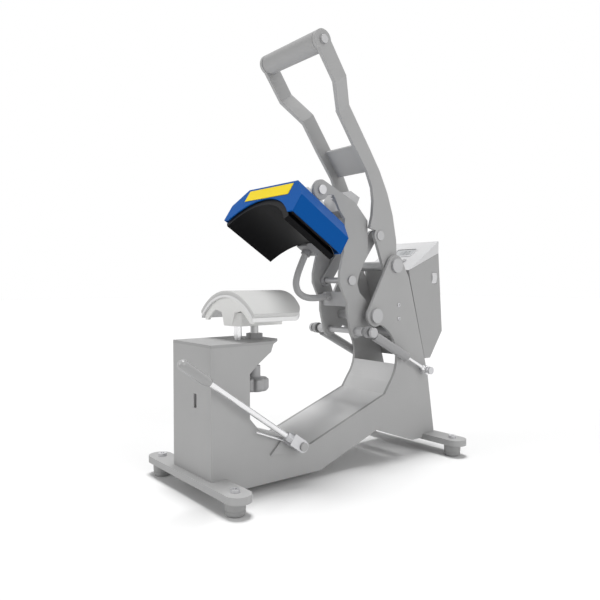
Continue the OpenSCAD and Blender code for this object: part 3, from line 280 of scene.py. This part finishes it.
# Silicone heater mat on the platen's back: dark brown, matt.
HEATER_MAT = Finish("silicone_heater_mat", "#33251E", Surface.MOULDED, 0.65, grain_mm=1.5, relief=0.2)
# Dark mineral felt in the head: matt and soft where its edge shows.
FELT = Finish("mineral_felt", "#3B3833", Surface.FOAM, 0.9, specular=0.1, grain_mm=3.0, relief=0.5,
              mottle=0.08)

NODE_FINISHES: dict[Finish, tuple[str, ...]] = {
    FRAME_PAINT: ("left_side_plate", "right_side_plate", "tower_front_plate", "front_foot_bar",
                  "rear_foot_bar", "hold_down_bracket", "left_lever_bar", "right_lever_bar",
                  "lever_cross_plate"),
    TABLE_PAINT: ("table_plate",),
    # Painted light: the neck cover gets a paler copy of the frame's powder coat to offset its shade.
    NECK_PAINTED_LIGHT: ("neck_cover",),
    CASE_PAINT: ("control_case", "left_arm_plate", "right_arm_plate"),
    BLUE_ENAMEL: ("head_cover",),
    NON_STICK: ("heat_platen",),
    HEATER_MAT: ("heater_element",),
    ZINC: ("foot_bolts", "strut_studs", "head_pin", "hold_down_fork"),
    PIN_ZINC: ("frame_spacers", "lever_shaft", "arm_shaft", "arm_spacers", "grip_bolts", "upper_link_pin",
               "lower_link_pin", "toggle_links"),
    CHROME: ("guide_post", "hold_down_rod", "hold_down_hook", "left_strut_rod", "right_strut_rod"),
    THREAD: ("pressure_screw",),
    WHITE_ENAMEL: ("lower_bracket", "head_bracket"),
    ALUMINIUM: ("lower_platen_shell", "threaded_post"),
    ABS_GREY: ("post_collar", "hose_gland", "button_set", "button_up", "button_down"),
    ABS_DARK: ("head_terminal_box", "power_inlet"),
    ABS_PALE: ("control_panel", "power_switch"),
    ACRYLIC: ("display_window",),
    TUBE_PAINT: ("left_strut_cylinder", "right_strut_cylinder"),
    BOARD: ("control_board",),
    YELLOW: ("label_plate",),
}


def make_piece(name: str, grids: list[np.ndarray], finish: Finish, body: str,
               closed_rows: bool = False, smooth: bool = True) -> bpy.types.Object:
    """Turns grids of points into one closed piece that rides on a body.

    Each grid is rows by columns by three. Columns run round and join up. The first and last rows are
    closed by a flat face, unless the rows join up too. A map in real metres follows rows and columns.

    Args:
        name: the piece's name.
        grids: the point grids, in metres, each of one closed skin.
        finish: the piece's material.
        body: the CAD body that carries it.
        closed_rows: the last row joins the first.
        smooth: shade the faces smoothly.

    Returns:
        The new object.
    """
    points, faces, lengths = [], [], []
    start = 0
    for grid in grids:
        rows, cols = grid.shape[:2]
        index = start + np.arange(rows * cols).reshape(rows, cols)
        lower = index if closed_rows else index[:-1]
        upper = np.roll(index, -1, axis=0) if closed_rows else index[1:]
        quads = np.stack([lower, np.roll(lower, -1, axis=1), np.roll(upper, -1, axis=1), upper], axis=-1)
        faces.extend(quads.reshape(-1, 4).tolist())
        if not closed_rows:
            faces.append(index[0][::-1].tolist())
            faces.append(index[-1].tolist())
        run = np.concatenate([[0.0], np.cumsum(np.linalg.norm(np.diff(grid.mean(axis=1), axis=0), axis=1))])
        girth = np.linalg.norm(np.roll(grid[rows // 2], -1, axis=0) - grid[rows // 2], axis=1).sum()
        round_it = np.linspace(0, girth, cols)
        lengths.append(np.stack(np.broadcast_arrays(run[:, None], round_it[None, :]), axis=-1))
        points.append(grid.reshape(-1, 3))
        start += rows * cols
    mesh = bpy.data.meshes.new(name)
    mesh.from_pydata(np.concatenate(points).tolist(), [], faces)
    loops = np.zeros(len(mesh.loops), dtype=np.int32)
    mesh.loops.foreach_get("vertex_index", loops)
    layer = mesh.uv_layers.new(name="real_metres")
    metres = np.concatenate([length.reshape(-1, 2) for length in lengths])
    layer.data.foreach_set("uv", metres[loops].astype(np.float32).ravel())
    work = bmesh.new()
    work.from_mesh(mesh)
    bmesh.ops.remove_doubles(work, verts=work.verts, dist=JOIN_M)
    bmesh.ops.recalc_face_normals(work, faces=work.faces)
    work.to_mesh(mesh)
    work.free()
    if smooth:
        mesh.shade_smooth()
        mesh.set_sharp_from_angle(angle=math.radians(SHARP_DEG))
    piece = bpy.data.objects.new(name, mesh)
    bpy.context.scene.collection.objects.link(piece)
    mesh.materials.append(finish.build())
    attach(piece, body)
    LOG.info("%s: %d faces on %s", name, len(mesh.polygons), body)
    return piece


def frame_across(axis: np.ndarray) -> tuple[np.ndarray, np.ndarray]:
    """Finds two directions square to an axis and to each other.

    Args:
        axis: a unit vector.

    Returns:
        The two unit vectors.
    """
    # Above this share the axis is too near X for a clean cross product with it.
    near_x = 0.9
    side = np.cross(axis, X_AXIS if abs(axis[0]) < near_x else Z_AXIS)
    side = side / np.linalg.norm(side)
    return side, np.cross(axis, side)


def turned(profile: np.ndarray, origin: np.ndarray, axis: np.ndarray, sides: int = 48,
           share: np.ndarray | None = None) -> np.ndarray:
    """Turns a profile of radius and height about an axis.

    Formula: point = origin + axis times height + radius times (side cosine angle + other side sine angle).

    Args:
        profile: rows of radius and height, in millimetres.
        origin: the axis's start, in millimetres.
        axis: its direction.
        sides: points round each ring.
        share: optional factor for the radius, rows by sides.

    Returns:
        The point grid, in metres.
    """
    axis = np.asarray(axis, dtype=float)
    axis = axis / np.linalg.norm(axis)
    side, other = frame_across(axis)
    angle = np.linspace(0.0, FULL_TURN, sides, endpoint=False)
    radius = profile[:, :1] * (np.ones((1, sides)) if share is None else share)
    ring = np.cos(angle)[:, None] * side + np.sin(angle)[:, None] * other
    return (np.asarray(origin) + profile[:, 1][:, None, None] * axis + radius[:, :, None] * ring) * MM


def rounded_profile(corners: list[tuple[float, float]], radius: float, steps: int = 5,
                    reach_share: float = 0.45) -> np.ndarray:
    """Rounds the inner corners of an open outline.

    Formula: each corner gives way to a quadratic curve between points one radius along its two sides.

    Args:
        corners: radius and height of each corner, in millimetres.
        radius: the rounding, in millimetres.
        steps: points in each rounded corner.
        reach_share: the most of a side that one rounding may take.

    Returns:
        The rounded outline.
    """
    pts = np.array(corners, dtype=float)
    out = [pts[:1]]
    t = np.linspace(0.0, 1.0, steps)[:, None]
    for before, here, after in zip(pts[:-2], pts[1:-1], pts[2:]):
        back_l, on_l = np.linalg.norm(before - here), np.linalg.norm(after - here)
        reach = min(radius, reach_share * back_l, reach_share * on_l)
        a = here + (before - here) / back_l * reach
        b = here + (after - here) / on_l * reach
        out.append((1 - t) ** 2 * a + 2 * t * (1 - t) * here + t ** 2 * b)
    out.append(pts[-1:])
    return np.concatenate(out)


@dataclass
class Head:
    """The tilted heating head: its place, and the felt that the scene adds to it.

    The felt ends a wall short of the head's front and rear. Its side stands up to side_h, and from there
    folds inward over fold_w and rises by fold_rise. The arch under it is centred arch_drop below its base.
    """

    front: tuple[float, float] = (-104.0, 402.0)
    tilt_deg: float = 33.0
    length: float = 108.0
    wall: float = 5.0
    half_w: float = 86.0
    side_h: float = 27.0
    fold_w: float = 24.0
    fold_rise: float = 27.0
    arch_r: float = 116.5
    arch_drop: float = 80.0
    least_n: float = 2.0
    least_depth: float = 1.5
    quilt_pitch: float = 18.0
    quilt_depth: float = 0.8
    columns: int = 61
    rows: int = 40

    def felt(self) -> None:
        """Makes the soft insulation under the cover, quilted a little.

        Formula: across the head, the skin follows the cover's inside above and the platen's arch below, and
        its upper side sinks by the product of two sines, one across and one along the head.
        """
        x = np.linspace(-1.0, 1.0, self.columns) * self.half_w
        s = np.linspace(self.wall, self.length - self.wall, self.rows)[:, None]
        arch = np.sqrt(np.maximum(self.arch_r ** 2 - x ** 2, 1.0)) - self.arch_drop
        low = np.maximum(arch, self.least_n)
        top = self.side_h + np.clip((self.half_w - np.abs(x)) / self.fold_w, 0.0, 1.0) * self.fold_rise
        top = np.maximum(top, low + self.least_depth)
        ring_x = np.concatenate([x, x[::-1][1:-1]])
        ring_n = np.concatenate([top, low[::-1][1:-1]])
        is_top = np.arange(ring_x.size) < self.columns
        wave = FULL_TURN / self.quilt_pitch
        quilt = self.quilt_depth * np.sin(s * wave) * np.sin(ring_x * wave) * is_top
        n = ring_n - np.abs(quilt)
        tilt = math.radians(self.tilt_deg)
        grid = np.stack([np.broadcast_to(ring_x, n.shape),
                         self.front[0] + s * math.cos(tilt) + n * math.sin(tilt),
                         self.front[1] - s * math.sin(tilt) + n * math.cos(tilt)], axis=-1) * MM
        piece = make_piece("head_wool", [grid], FELT, "arm")
        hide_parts("head_insulation")

    def build(self) -> None:
        """Adds the head's own piece."""
        self.felt()


@dataclass
class Hose:
    """The sleeved supply hose from the head's box into the arm.

    Its places are pairs of y and z in one upright plane. The lead is how far behind the exit the curve
    takes its first direction from.
    """

    x: float = -16.0
    diameter: float = 11.0
    exit: tuple[float, float] = (4.853, 345.618)
    exit_dir: tuple[float, float] = (-0.5446, -0.8387)
    route: tuple[tuple[float, float], ...] = (
        (0.0, 337.0), (-5.0, 327.0), (-10.0, 316.0), (-13.5, 305.0), (-14.0, 296.0), (-10.0, 286.0),
        (-1.0, 279.0), (10.0, 275.5), (22.0, 274.5), (35.0, 275.0))
    end: tuple[float, float] = (48.0, 277.0)
    lead: float = 10.0
    steps: int = 8
    sides: int = 24

    def centreline(self) -> np.ndarray:
        """Runs one smooth curve through the route.

        Formula: a Catmull-Rom cubic between each two points, from the points and their neighbours.

        Returns:
            The points along the hose, in millimetres.
        """
        pts = np.array([self.exit, *self.route, self.end])
        first = pts[0] - np.array(self.exit_dir) * self.lead
        last = pts[-1] + (pts[-1] - pts[-2])
        padded = np.vstack([first, pts, last])
        a, b, c, d = (padded[i:len(padded) - 3 + i][:, None, :] for i in range(4))
        t = np.linspace(0.0, 1.0, self.steps, endpoint=False)[None, :, None]
        curve = 0.5 * (2 * b + (c - a) * t + (2 * a - 5 * b + 4 * c - d) * t ** 2
                       + (3 * b - a - 3 * c + d) * t ** 3)
        yz = np.vstack([curve.reshape(-1, 2), pts[-1:]])
        return np.column_stack([np.full(len(yz), self.x), yz])

    def build(self) -> None:
        """Formula: point = line + half the diameter times (X cosine angle + the other side sine angle).
        """
        line = self.centreline()
        ahead = np.gradient(line, axis=0)
        ahead /= np.linalg.norm(ahead, axis=1, keepdims=True)
        angle = np.linspace(0.0, FULL_TURN, self.sides, endpoint=False)
        up = np.cross(ahead, X_AXIS)
        ring = np.cos(angle)[None, :, None] * X_AXIS + np.sin(angle)[None, :, None] * up[:, None, :]
        grid = (line[:, None, :] + 0.5 * self.diameter * ring) * MM
        hose = make_piece("supply_hose_sleeve", [grid], SLEEVE, "arm")
        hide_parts("supply_hose")


@dataclass
class LowerPad:
    """The curved silicone pad on the lower platen.

    The crown is the height of the pad's top line, and the edge is how far in its rounding reaches.
    """

    radius: float = 102.0
    thickness: float = 6.0
    crown: float = 289.0
    width: float = 150.0
    front: float = -158.0
    length: float = 99.0
    corner: float = 12.0
    bow: float = 215.0
    edge: float = 1.3
    edge_share: float = 0.12
    columns: int = 97
    rows: int = 65

    def build(self) -> None:
        """Makes the pad as one closed skin with soft edges.

        Formula: the rear edge follows an arc of the bow's radius, with a quarter circle at each corner. The
        lower skin lies just off the platen. Inside the edge the pad starts at a small share of its thickness
        and grows to all of it along a quarter circle of the distance to the edge.
        """
        x = 0.5 * self.width * np.sin(np.linspace(-0.5, 0.5, self.columns) * math.pi)[None, :]
        v = 0.5 * (1.0 + np.sin(np.linspace(-0.5, 0.5, self.rows) * math.pi))[:, None]
        in_corner = np.clip(np.abs(x) - 0.5 * self.width + self.corner, 0.0, self.corner)
        back = (self.front + self.length - self.bow + np.sqrt(self.bow ** 2 - x ** 2)
                - self.corner + np.sqrt(self.corner ** 2 - in_corner ** 2))
        y = self.front + v * (back - self.front)
        to_side = 0.5 * self.width - np.abs(x)
        to_end = np.minimum(y - self.front, back - y)
        near = np.clip(np.minimum(to_side, to_end) / self.edge, 0.0, 1.0)
        swell = np.sqrt(np.clip(1.0 - (1.0 - near) ** 2, 0.0, 1.0))
        angle = np.broadcast_to(np.arcsin(x / self.radius), y.shape)
        inner = self.radius - self.thickness + GAP
        grown = (self.edge_share + (1.0 - self.edge_share) * swell) * (near > 0)
        outer = inner + (self.thickness - GAP) * grown
        skins = []
        for radius in (outer, np.full_like(outer, inner)):
            skins.append(np.stack([radius * np.sin(angle), y,
                                   self.crown - self.radius + radius * np.cos(angle)], axis=-1))
        grid = np.concatenate([skins[0], skins[1][:, ::-1][:, 1:-1]], axis=1) * MM
        pad = make_piece("lower_pad_silicone", [grid], SILICONE, "frame")
        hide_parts("lower_pad")


@dataclass
class Grips:
    """The foam handle, and the hold-down lever's grip.

    The waist's place and width are shares of half the foam's length. The corners of the foam's end are
    given inward from its radius and on from its end. Those of the hold-down grip's neck are given by
    radius, and by height above the grip's lower end.
    """

    grip_y: float = -31.0
    grip_z: float = 662.0
    grip_r: float = 16.0
    half_l: float = 65.0
    bore_r: float = 4.1
    waist_depth: float = 0.5
    waist_at: float = 0.93
    waist_w: float = 0.015
    end_l: float = 1.5
    end_corners: tuple[tuple[float, float], ...] = ((2.5, 0.0), (0.8, 0.5))
    rows: int = 61
    foam_sides: int = 64
    pivot: tuple[float, float, float] = (71.0, -73.0, 60.0)
    angle_deg: float = 35.4
    reach: float = 242.0
    hold_l: float = 48.0
    hold_r: float = 7.0
    hold_bore_r: float = 4.3
    hold_bore_l: float = 47.0
    neck: tuple[tuple[float, float], ...] = ((5.2, 0.0), (6.0, 1.5), (6.9, 7.0))
    dome_steps: int = 10
    hold_sides: int = 40

    def handle(self) -> None:
        """Makes the foam sleeve: a tube whose ends are rounded over, with a shallow waist near each end.

        Formula: radius = the grip's, less the waist's depth times a bell curve of the distance to the waist.
        """
        x = np.linspace(-1.0, 1.0, self.rows)
        waist = np.exp(-((np.abs(x) - self.waist_at) / self.waist_w) ** 2)
        outer = np.column_stack([self.grip_r - self.waist_depth * waist, x * (self.half_l - self.end_l)])
        start = np.array([(self.bore_r, -self.half_l),
                          *((self.grip_r - inward, on - self.half_l) for inward, on in self.end_corners)])
        finish = start[::-1] * np.array([1.0, -1.0])
        profile = np.concatenate([start, outer, finish])
        grid = turned(profile, np.array([0.0, self.grip_y, self.grip_z]), X_AXIS, self.foam_sides)
        sleeve = make_piece("handle_foam", [grid], GRIP_FOAM, "lever", closed_rows=True)
        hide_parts("handle_grip")

    def hold_down(self) -> None:
        """Makes the hold-down grip: a straight round bar with a tapered neck and a domed end.

        Formula: its profile is turned about the lever's slanted axis, and the dome is a quarter circle.
        """
        a = math.radians(self.angle_deg)
        axis = np.array([0.0, -math.cos(a), math.sin(a)])
        shoulder = self.reach - self.hold_r
        low = shoulder - self.hold_l
        dome = np.linspace(0.0, 0.5 * math.pi, self.dome_steps)[:-1]
        cap = np.column_stack([self.hold_r * np.cos(dome), shoulder + self.hold_r * np.sin(dome)])
        deep = low + self.hold_bore_l
        bore = [(POLE, deep), (self.hold_bore_r, deep), (self.hold_bore_r, low)]
        neck = [(radius, low + up) for radius, up in self.neck]
        profile = np.concatenate([bore, neck, cap, [(POLE, self.reach)]])
        grid = turned(profile, np.array(self.pivot), axis, self.hold_sides)
        grip = make_piece("hold_down_handle", [grid], PHENOLIC, "hold_down_lever")
        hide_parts("hold_down_grip")

    def build(self) -> None:
        """Makes both grips."""
        self.handle()
        self.hold_down()


@dataclass
class Knob:
    """The star knob under the table, with its socket for the post.

    The base's and the rim's bevels are given inward from the radius, and up or down from their faces.
    """

    y: float = -107.0
    low: float = 136.0
    height: float = 20.0
    top: float = 175.0
    radius: float = 22.0
    hub: float = 9.0
    bore: float = 6.1
    floor_h: float = 7.8
    base_in: float = 4.0
    base_up: float = 4.5
    rim_in: float = 2.5
    rim_down: float = 2.0
    shoulder: float = 1.0
    hub_rise: float = 3.0
    rounding: float = 2.0
    lobes: int = 7
    dip_share: float = 0.17
    sides: int = 126

    def build(self) -> None:
        """Turns the knob's profile, and draws its radius in between the lobes.

        Formula: radius = profile times one minus a share, which grows from nought past the hub to its whole
        at the rim, times the cube of a cosine wave that is nought on each lobe and one between lobes.
        """
        head = self.low + self.height
        floor = self.low + self.floor_h
        profile = rounded_profile([
            (POLE, self.low), (self.radius - self.base_in, self.low), (self.radius, self.low + self.base_up),
            (self.radius, head - self.rim_down), (self.radius - self.rim_in, head),
            (self.hub + self.shoulder, head + self.shoulder), (self.hub, head + self.hub_rise),
            (self.hub, self.top), (self.bore, self.top), (self.bore, floor), (POLE, floor)], self.rounding)
        angle = np.linspace(0.0, FULL_TURN, self.sides, endpoint=False)
        dip = (0.5 - 0.5 * np.cos(self.lobes * angle)) ** 3
        hub = self.hub + self.shoulder
        outside = np.clip((profile[:, 0] - hub) / (self.radius - hub), 0.0, 1.0)
        share = 1.0 - self.dip_share * outside[:, None] * dip[None, :]
        grid = turned(profile, np.array([0.0, self.y, 0.0]), Z_AXIS, self.sides, share)
        knob = make_piece("clamp_star_knob", [grid], ABS_GREY, "clamp_knob_body")
        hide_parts("clamp_knob")


@dataclass
class Feet:
    """Four moulded rubber feet. The side's corners are given inward from the radius and up from the base."""

    places: tuple[tuple[float, float], ...] = (
        (-106.0, -209.0), (106.0, -209.0), (-106.0, 236.0), (106.0, 236.0))
    radius: float = 14.0
    height: float = 20.0
    bore: float = 4.1
    bore_share: float = 0.5
    side: tuple[tuple[float, float], ...] = (
        (2.5, 0.0), (0.6, 2.5), (0.4, 6.5), (1.2, 7.3), (0.3, 8.2), (0.0, 14.0))
    bevel: float = 1.5
    rounding: float = 0.8

    def build(self) -> None:
        """Turns one profile with a groove and a chamfered base, at four places."""
        r, h = self.radius, self.height
        deep = h * self.bore_share
        profile = rounded_profile([
            (POLE, 0.0), *((r - inward, up) for inward, up in self.side), (r, h - self.bevel),
            (r - self.bevel, h - GAP), (self.bore, h - GAP), (self.bore, deep), (POLE, deep)], self.rounding)
        grids = [turned(profile, np.array([x, y, 0.0]), Z_AXIS) for x, y in self.places]
        feet = make_piece("moulded_feet", grids, RUBBER, "frame")
        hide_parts("rubber_feet")


@dataclass
class Fittings:
    """Socket screws on the frame's sides. The corners are shares of the screw's radius and height."""

    screw_r: float = 3.6
    screw_h: float = 2.2
    head: tuple[tuple[float, float], ...] = ((1.0, 0.25), (0.9, 0.7), (0.7, 1.0))
    socket: tuple[tuple[float, float], ...] = ((0.48, 1.0), (0.46, 0.35))
    socket_floor: float = 0.30
    floor_r: float = 0.02
    socket_share: float = 0.9
    flats: int = 6
    sides: int = 36
    half_w: float = 55.0
    places: tuple[tuple[float, float], ...] = ((153.6, 261.9), (153.8, 238.4))

    def screw(self, centre: np.ndarray, axis: np.ndarray) -> np.ndarray:
        """Makes one button-head screw with a six-sided socket.

        Formula: the radius is round on the head, and divided by the cosine of the angle from the middle of
        the nearest flat in the socket.

        Args:
            centre: the middle of the seat, in millimetres.
            axis: out of the seat.

        Returns:
            The point grid, in metres.
        """
        corners = np.array(self.head + self.socket) * (self.screw_r, self.screw_h)
        floor = self.socket_floor * self.screw_h
        profile = np.concatenate([[(self.screw_r, GAP)], corners, [(self.floor_r, floor)]])
        angle = np.linspace(0.0, FULL_TURN, self.sides, endpoint=False)
        half_flat = math.pi / self.flats
        flat = 1.0 / np.cos((angle + half_flat) % (2.0 * half_flat) - half_flat)
        share = np.ones((len(profile), self.sides))
        first = 1 + len(self.head)
        share[first:first + len(self.socket)] = flat * self.socket_share
        return turned(profile, centre, axis, self.sides, share)

    def build(self) -> None:
        """Puts the screws on both sides of the frame."""
        grids = []
        for side in (-1.0, 1.0):
            for y, z in self.places:
                grids.append(self.screw(np.array([side * self.half_w, y, z]), side * X_AXIS))
        make_piece("frame_screws", grids, ZINC, "frame")


@dataclass
class Panel:
    """The control panel's details: a rim, unlit digits and rings round the buttons.

    The display and the buttons lie at a share of the panel's length. A bar's half sizes are given across
    the panel and up it, and the ring's section by radius and height.
    """

    front: tuple[float, float] = (179.0, 321.3)
    angle_deg: float = 34.355
    length: float = 95.67
    seat: float = 0.03
    display_share: float = 0.62
    rim_half: tuple[float, float] = (23.6, 11.6)
    rim_w: float = 2.2
    rim_rise: float = 0.9
    rim_power: int = 8
    rim_sides: int = 72
    digits: tuple[str, ...] = ("1", "8", "0")
    digit_pitch: float = 9.5
    digit_w: float = 4.6
    half_digit_h: float = 5.2
    flat_bar: tuple[float, float] = (1.7, 0.45)
    upright_bar: tuple[float, float] = (0.45, 2.0)
    bar_rise: float = 0.25
    button_share: float = 0.32
    buttons_x: tuple[float, ...] = (-20.0, 0.0, 20.0)
    ring: tuple[tuple[float, float], ...] = ((5.6, 0.03), (5.6, 0.7), (6.9, 0.5), (7.2, 0.03))
    ring_sides: int = 40

    def place(self, x: np.ndarray, y: np.ndarray, z: float) -> np.ndarray:
        """Places points that are given on the panel.

        Formula: a turn about X by the panel's slope, then a shift to its front edge.

        Args:
            x: across the panel.
            y: up its slope.
            z: out of it.

        Returns:
            The points in the row frame, in metres.
        """
        a = math.radians(self.angle_deg)
        x, y, z = np.broadcast_arrays(x, y, z)
        return np.stack([x, self.front[0] + y * math.cos(a) - z * math.sin(a),
                         self.front[1] + y * math.sin(a) + z * math.cos(a)], axis=-1) * MM

    def rim(self) -> np.ndarray:
        """Makes the display's rectangular rim, with round corners.

        Formula: a superellipse of a high power, carried round by a four-sided section.

        Returns:
            The point grid, in metres.
        """
        turn = np.linspace(0.0, FULL_TURN, self.rim_sides, endpoint=False)
        power = self.rim_power
        reach = (np.abs(np.cos(turn)) ** power + np.abs(np.sin(turn)) ** power) ** (-1.0 / power)
        half_w, half_l = self.rim_half
        middle = self.display_share * self.length
        outward = (0.0, 0.0, self.rim_w, self.rim_w)
        up = (self.seat, self.rim_rise, self.rim_rise, self.seat)
        rows = []
        for w, z in zip(outward, up):
            x = np.cos(turn) * reach * (half_w + w)
            rows.append(self.place(x, middle + np.sin(turn) * reach * (half_l + w), z))
        return np.array(rows)

    def segments(self) -> list[np.ndarray]:
        """Lays out the bars of the digits.

        Formula: each bar is a low box, shifted by its digit's pitch and its place in the digit.

        Returns:
            One grid for each bar.
        """
        bars_of = {"1": "bc", "8": "abcdefg", "0": "abcdef"}
        half_w, h = self.digit_w / 2, self.half_digit_h
        bars = {"a": (0, h, True), "g": (0, 0, True), "d": (0, -h, True),
                "b": (half_w, h / 2, False), "c": (half_w, -h / 2, False),
                "e": (-half_w, -h / 2, False), "f": (-half_w, h / 2, False)}
        square = np.array([(-1, -1), (1, -1), (1, 1), (-1, 1)], dtype=float)
        middle = self.display_share * self.length
        grids = []
        for i, digit in enumerate(self.digits):
            for key in bars_of[digit]:
                across, up, flat = bars[key]
                corner = square * (self.flat_bar if flat else self.upright_bar)
                x = (i - 1) * self.digit_pitch + across + corner[:, 0]
                y = middle + up + corner[:, 1]
                grids.append(np.array([self.place(x, y, z) for z in (GAP, self.bar_rise)]))
        return grids

    def rings(self) -> list[np.ndarray]:
        """Makes a low ring round each button.

        Formula: a circle of each radius in the section, at that radius's height.

        Returns:
            One grid for each ring.
        """
        turn = np.linspace(0.0, FULL_TURN, self.ring_sides, endpoint=False)
        y = self.button_share * self.length
        return [np.array([self.place(x + r * np.cos(turn), y + r * np.sin(turn), z) for r, z in self.ring])
                for x in self.buttons_x]

    def build(self) -> None:
        """Adds the rim, the digits and the rings round the buttons."""
        make_piece("display_rim", [self.rim()], ABS_PALE, "frame", closed_rows=True)
        make_piece("display_digits", self.segments(), SEGMENT, "frame", smooth=False)
        make_piece("button_rings", self.rings(), ABS_PALE, "frame", closed_rows=True)


@dataclass(frozen=True)
class Sun:
    """One broad, even light: where it lies, how wide it looks, and its watts per square metre."""

    name: str
    toward: tuple[float, float, float]
    spread_deg: float
    strength: float
    away: float = 3.0

    def build(self) -> None:
        """Adds the light, turned to the press."""
        toward = self.toward
        data = bpy.data.lights.new(self.name, "SUN")
        data.angle, data.energy = math.radians(self.spread_deg), self.strength
        light = bpy.data.objects.new(self.name, data)
        light.rotation_euler = Vector(toward).to_track_quat("Z", "Y").to_euler()
        light.location = Vector(toward).normalized() * self.away
        bpy.context.scene.collection.objects.link(light)


@dataclass
class Studio:
    """Camera, floor, lamps and sky. Places and the floor's half width are in metres."""

    camera_at: tuple[float, float, float] = (0.7755, -0.6310, 0.3035)
    camera_turn_deg: tuple[float, float, float] = (88.2, 0.0, 51.7)
    lens_mm: float = 36.86
    sensor_mm: float = 36.0
    sky: float = 0.29
    floor_half: float = 9.0
    floor_grey: float = 0.84
    suns: tuple[Sun, ...] = (Sun("top", (-0.06, 0.04, 1.0), 20.0, 2.45),
                             Sun("key", (-0.35, -1.0, 0.4), 35.0, 0.75),
                             Sun("side", (1.0, 0.1, 0.35), 45.0, 0.95))

    def camera(self) -> None:
        """Sets the camera at the photograph's angle."""
        data = bpy.data.cameras.new("view")
        data.lens, data.sensor_width = self.lens_mm, self.sensor_mm
        camera = bpy.data.objects.new("view", data)
        camera.location = self.camera_at
        camera.rotation_euler = tuple(math.radians(a) for a in self.camera_turn_deg)
        bpy.context.scene.collection.objects.link(camera)
        bpy.context.scene.camera = camera

    def white_to_the_eye(self, tree: bpy.types.NodeTree) -> bpy.types.NodeSocket:
        """Tells the rays that see the background: straight, in gloss, and through glass.

        Args:
            tree: the node tree of the world.

        Returns:
            One for such a ray, else nought.
        """
        path = add_node(tree, "ShaderNodeLightPath")
        seen = path.outputs["Is Camera Ray"]
        for kind in ("Is Glossy Ray", "Is Transmission Ray"):
            either = add_node(tree, "ShaderNodeMath", {0: seen, 1: path.outputs[kind]}, operation="MAXIMUM")
            seen = either.outputs[0]
        return seen

    def world(self) -> None:
        """Lights the scene from all round, over a white background."""
        world = bpy.data.worlds.new("studio")
        bpy.context.scene.world = world
        world.use_nodes = True
        tree = world.node_tree
        tree.nodes.clear()
        white = (1.0, 1.0, 1.0, 1.0)
        soft = add_node(tree, "ShaderNodeBackground", {"Color": white, "Strength": self.sky})
        plain = add_node(tree, "ShaderNodeBackground", {"Color": white, "Strength": 1.0})
        mixed = add_node(tree, "ShaderNodeMixShader",
                         {0: self.white_to_the_eye(tree), 1: soft.outputs[0], 2: plain.outputs[0]})
        add_node(tree, "ShaderNodeOutputWorld", {"Surface": mixed.outputs[0]})

    def floor(self) -> None:
        """Lays a wide white floor that keeps the shadow."""
        mesh = bpy.data.meshes.new("floor")
        h = self.floor_half
        mesh.from_pydata([(-h, -h, 0), (h, -h, 0), (h, h, 0), (-h, h, 0)], [], [(0, 1, 2, 3)])
        floor = bpy.data.objects.new("floor", mesh)
        bpy.context.scene.collection.objects.link(floor)
        material = bpy.data.materials.new("white_paper")
        material.use_nodes = True
        shader = material.node_tree.nodes["Principled BSDF"]
        shader.inputs["Base Color"].default_value = (self.floor_grey, self.floor_grey, self.floor_grey, 1.0)
        shader.inputs["Roughness"].default_value = 1.0
        shader.inputs["Specular IOR Level"].default_value = 0.0
        mesh.materials.append(material)

    def build(self) -> None:
        """Sets up the whole studio."""
        scene = bpy.context.scene
        scene.view_settings.view_transform = "Standard"
        self.world()
        self.floor()
        for sun in self.suns:
            sun.build()


def dress_nodes() -> None:
    """Gives each CAD node that stays its finish, through its material slots."""
    for finish, nodes in NODE_FINISHES.items():
        for name in nodes:
            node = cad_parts[name]
            if not node.material_slots:
                node.data.materials.append(None)
            for slot in node.material_slots:
                slot.material = finish.build()


def main() -> None:
    """Builds the scene: camera and hose first, then every sub-assembly."""
    logging.basicConfig(level=logging.INFO, format="%(name)s %(message)s")
    studio = Studio()
    studio.camera()
    Hose().build()
    for part in (Head(), LowerPad(), Grips(), Knob(), Feet(), Fittings(), Panel()):
        part.build()
    dress_nodes()
    studio.build()


if __name__ == "__main__":
    main()
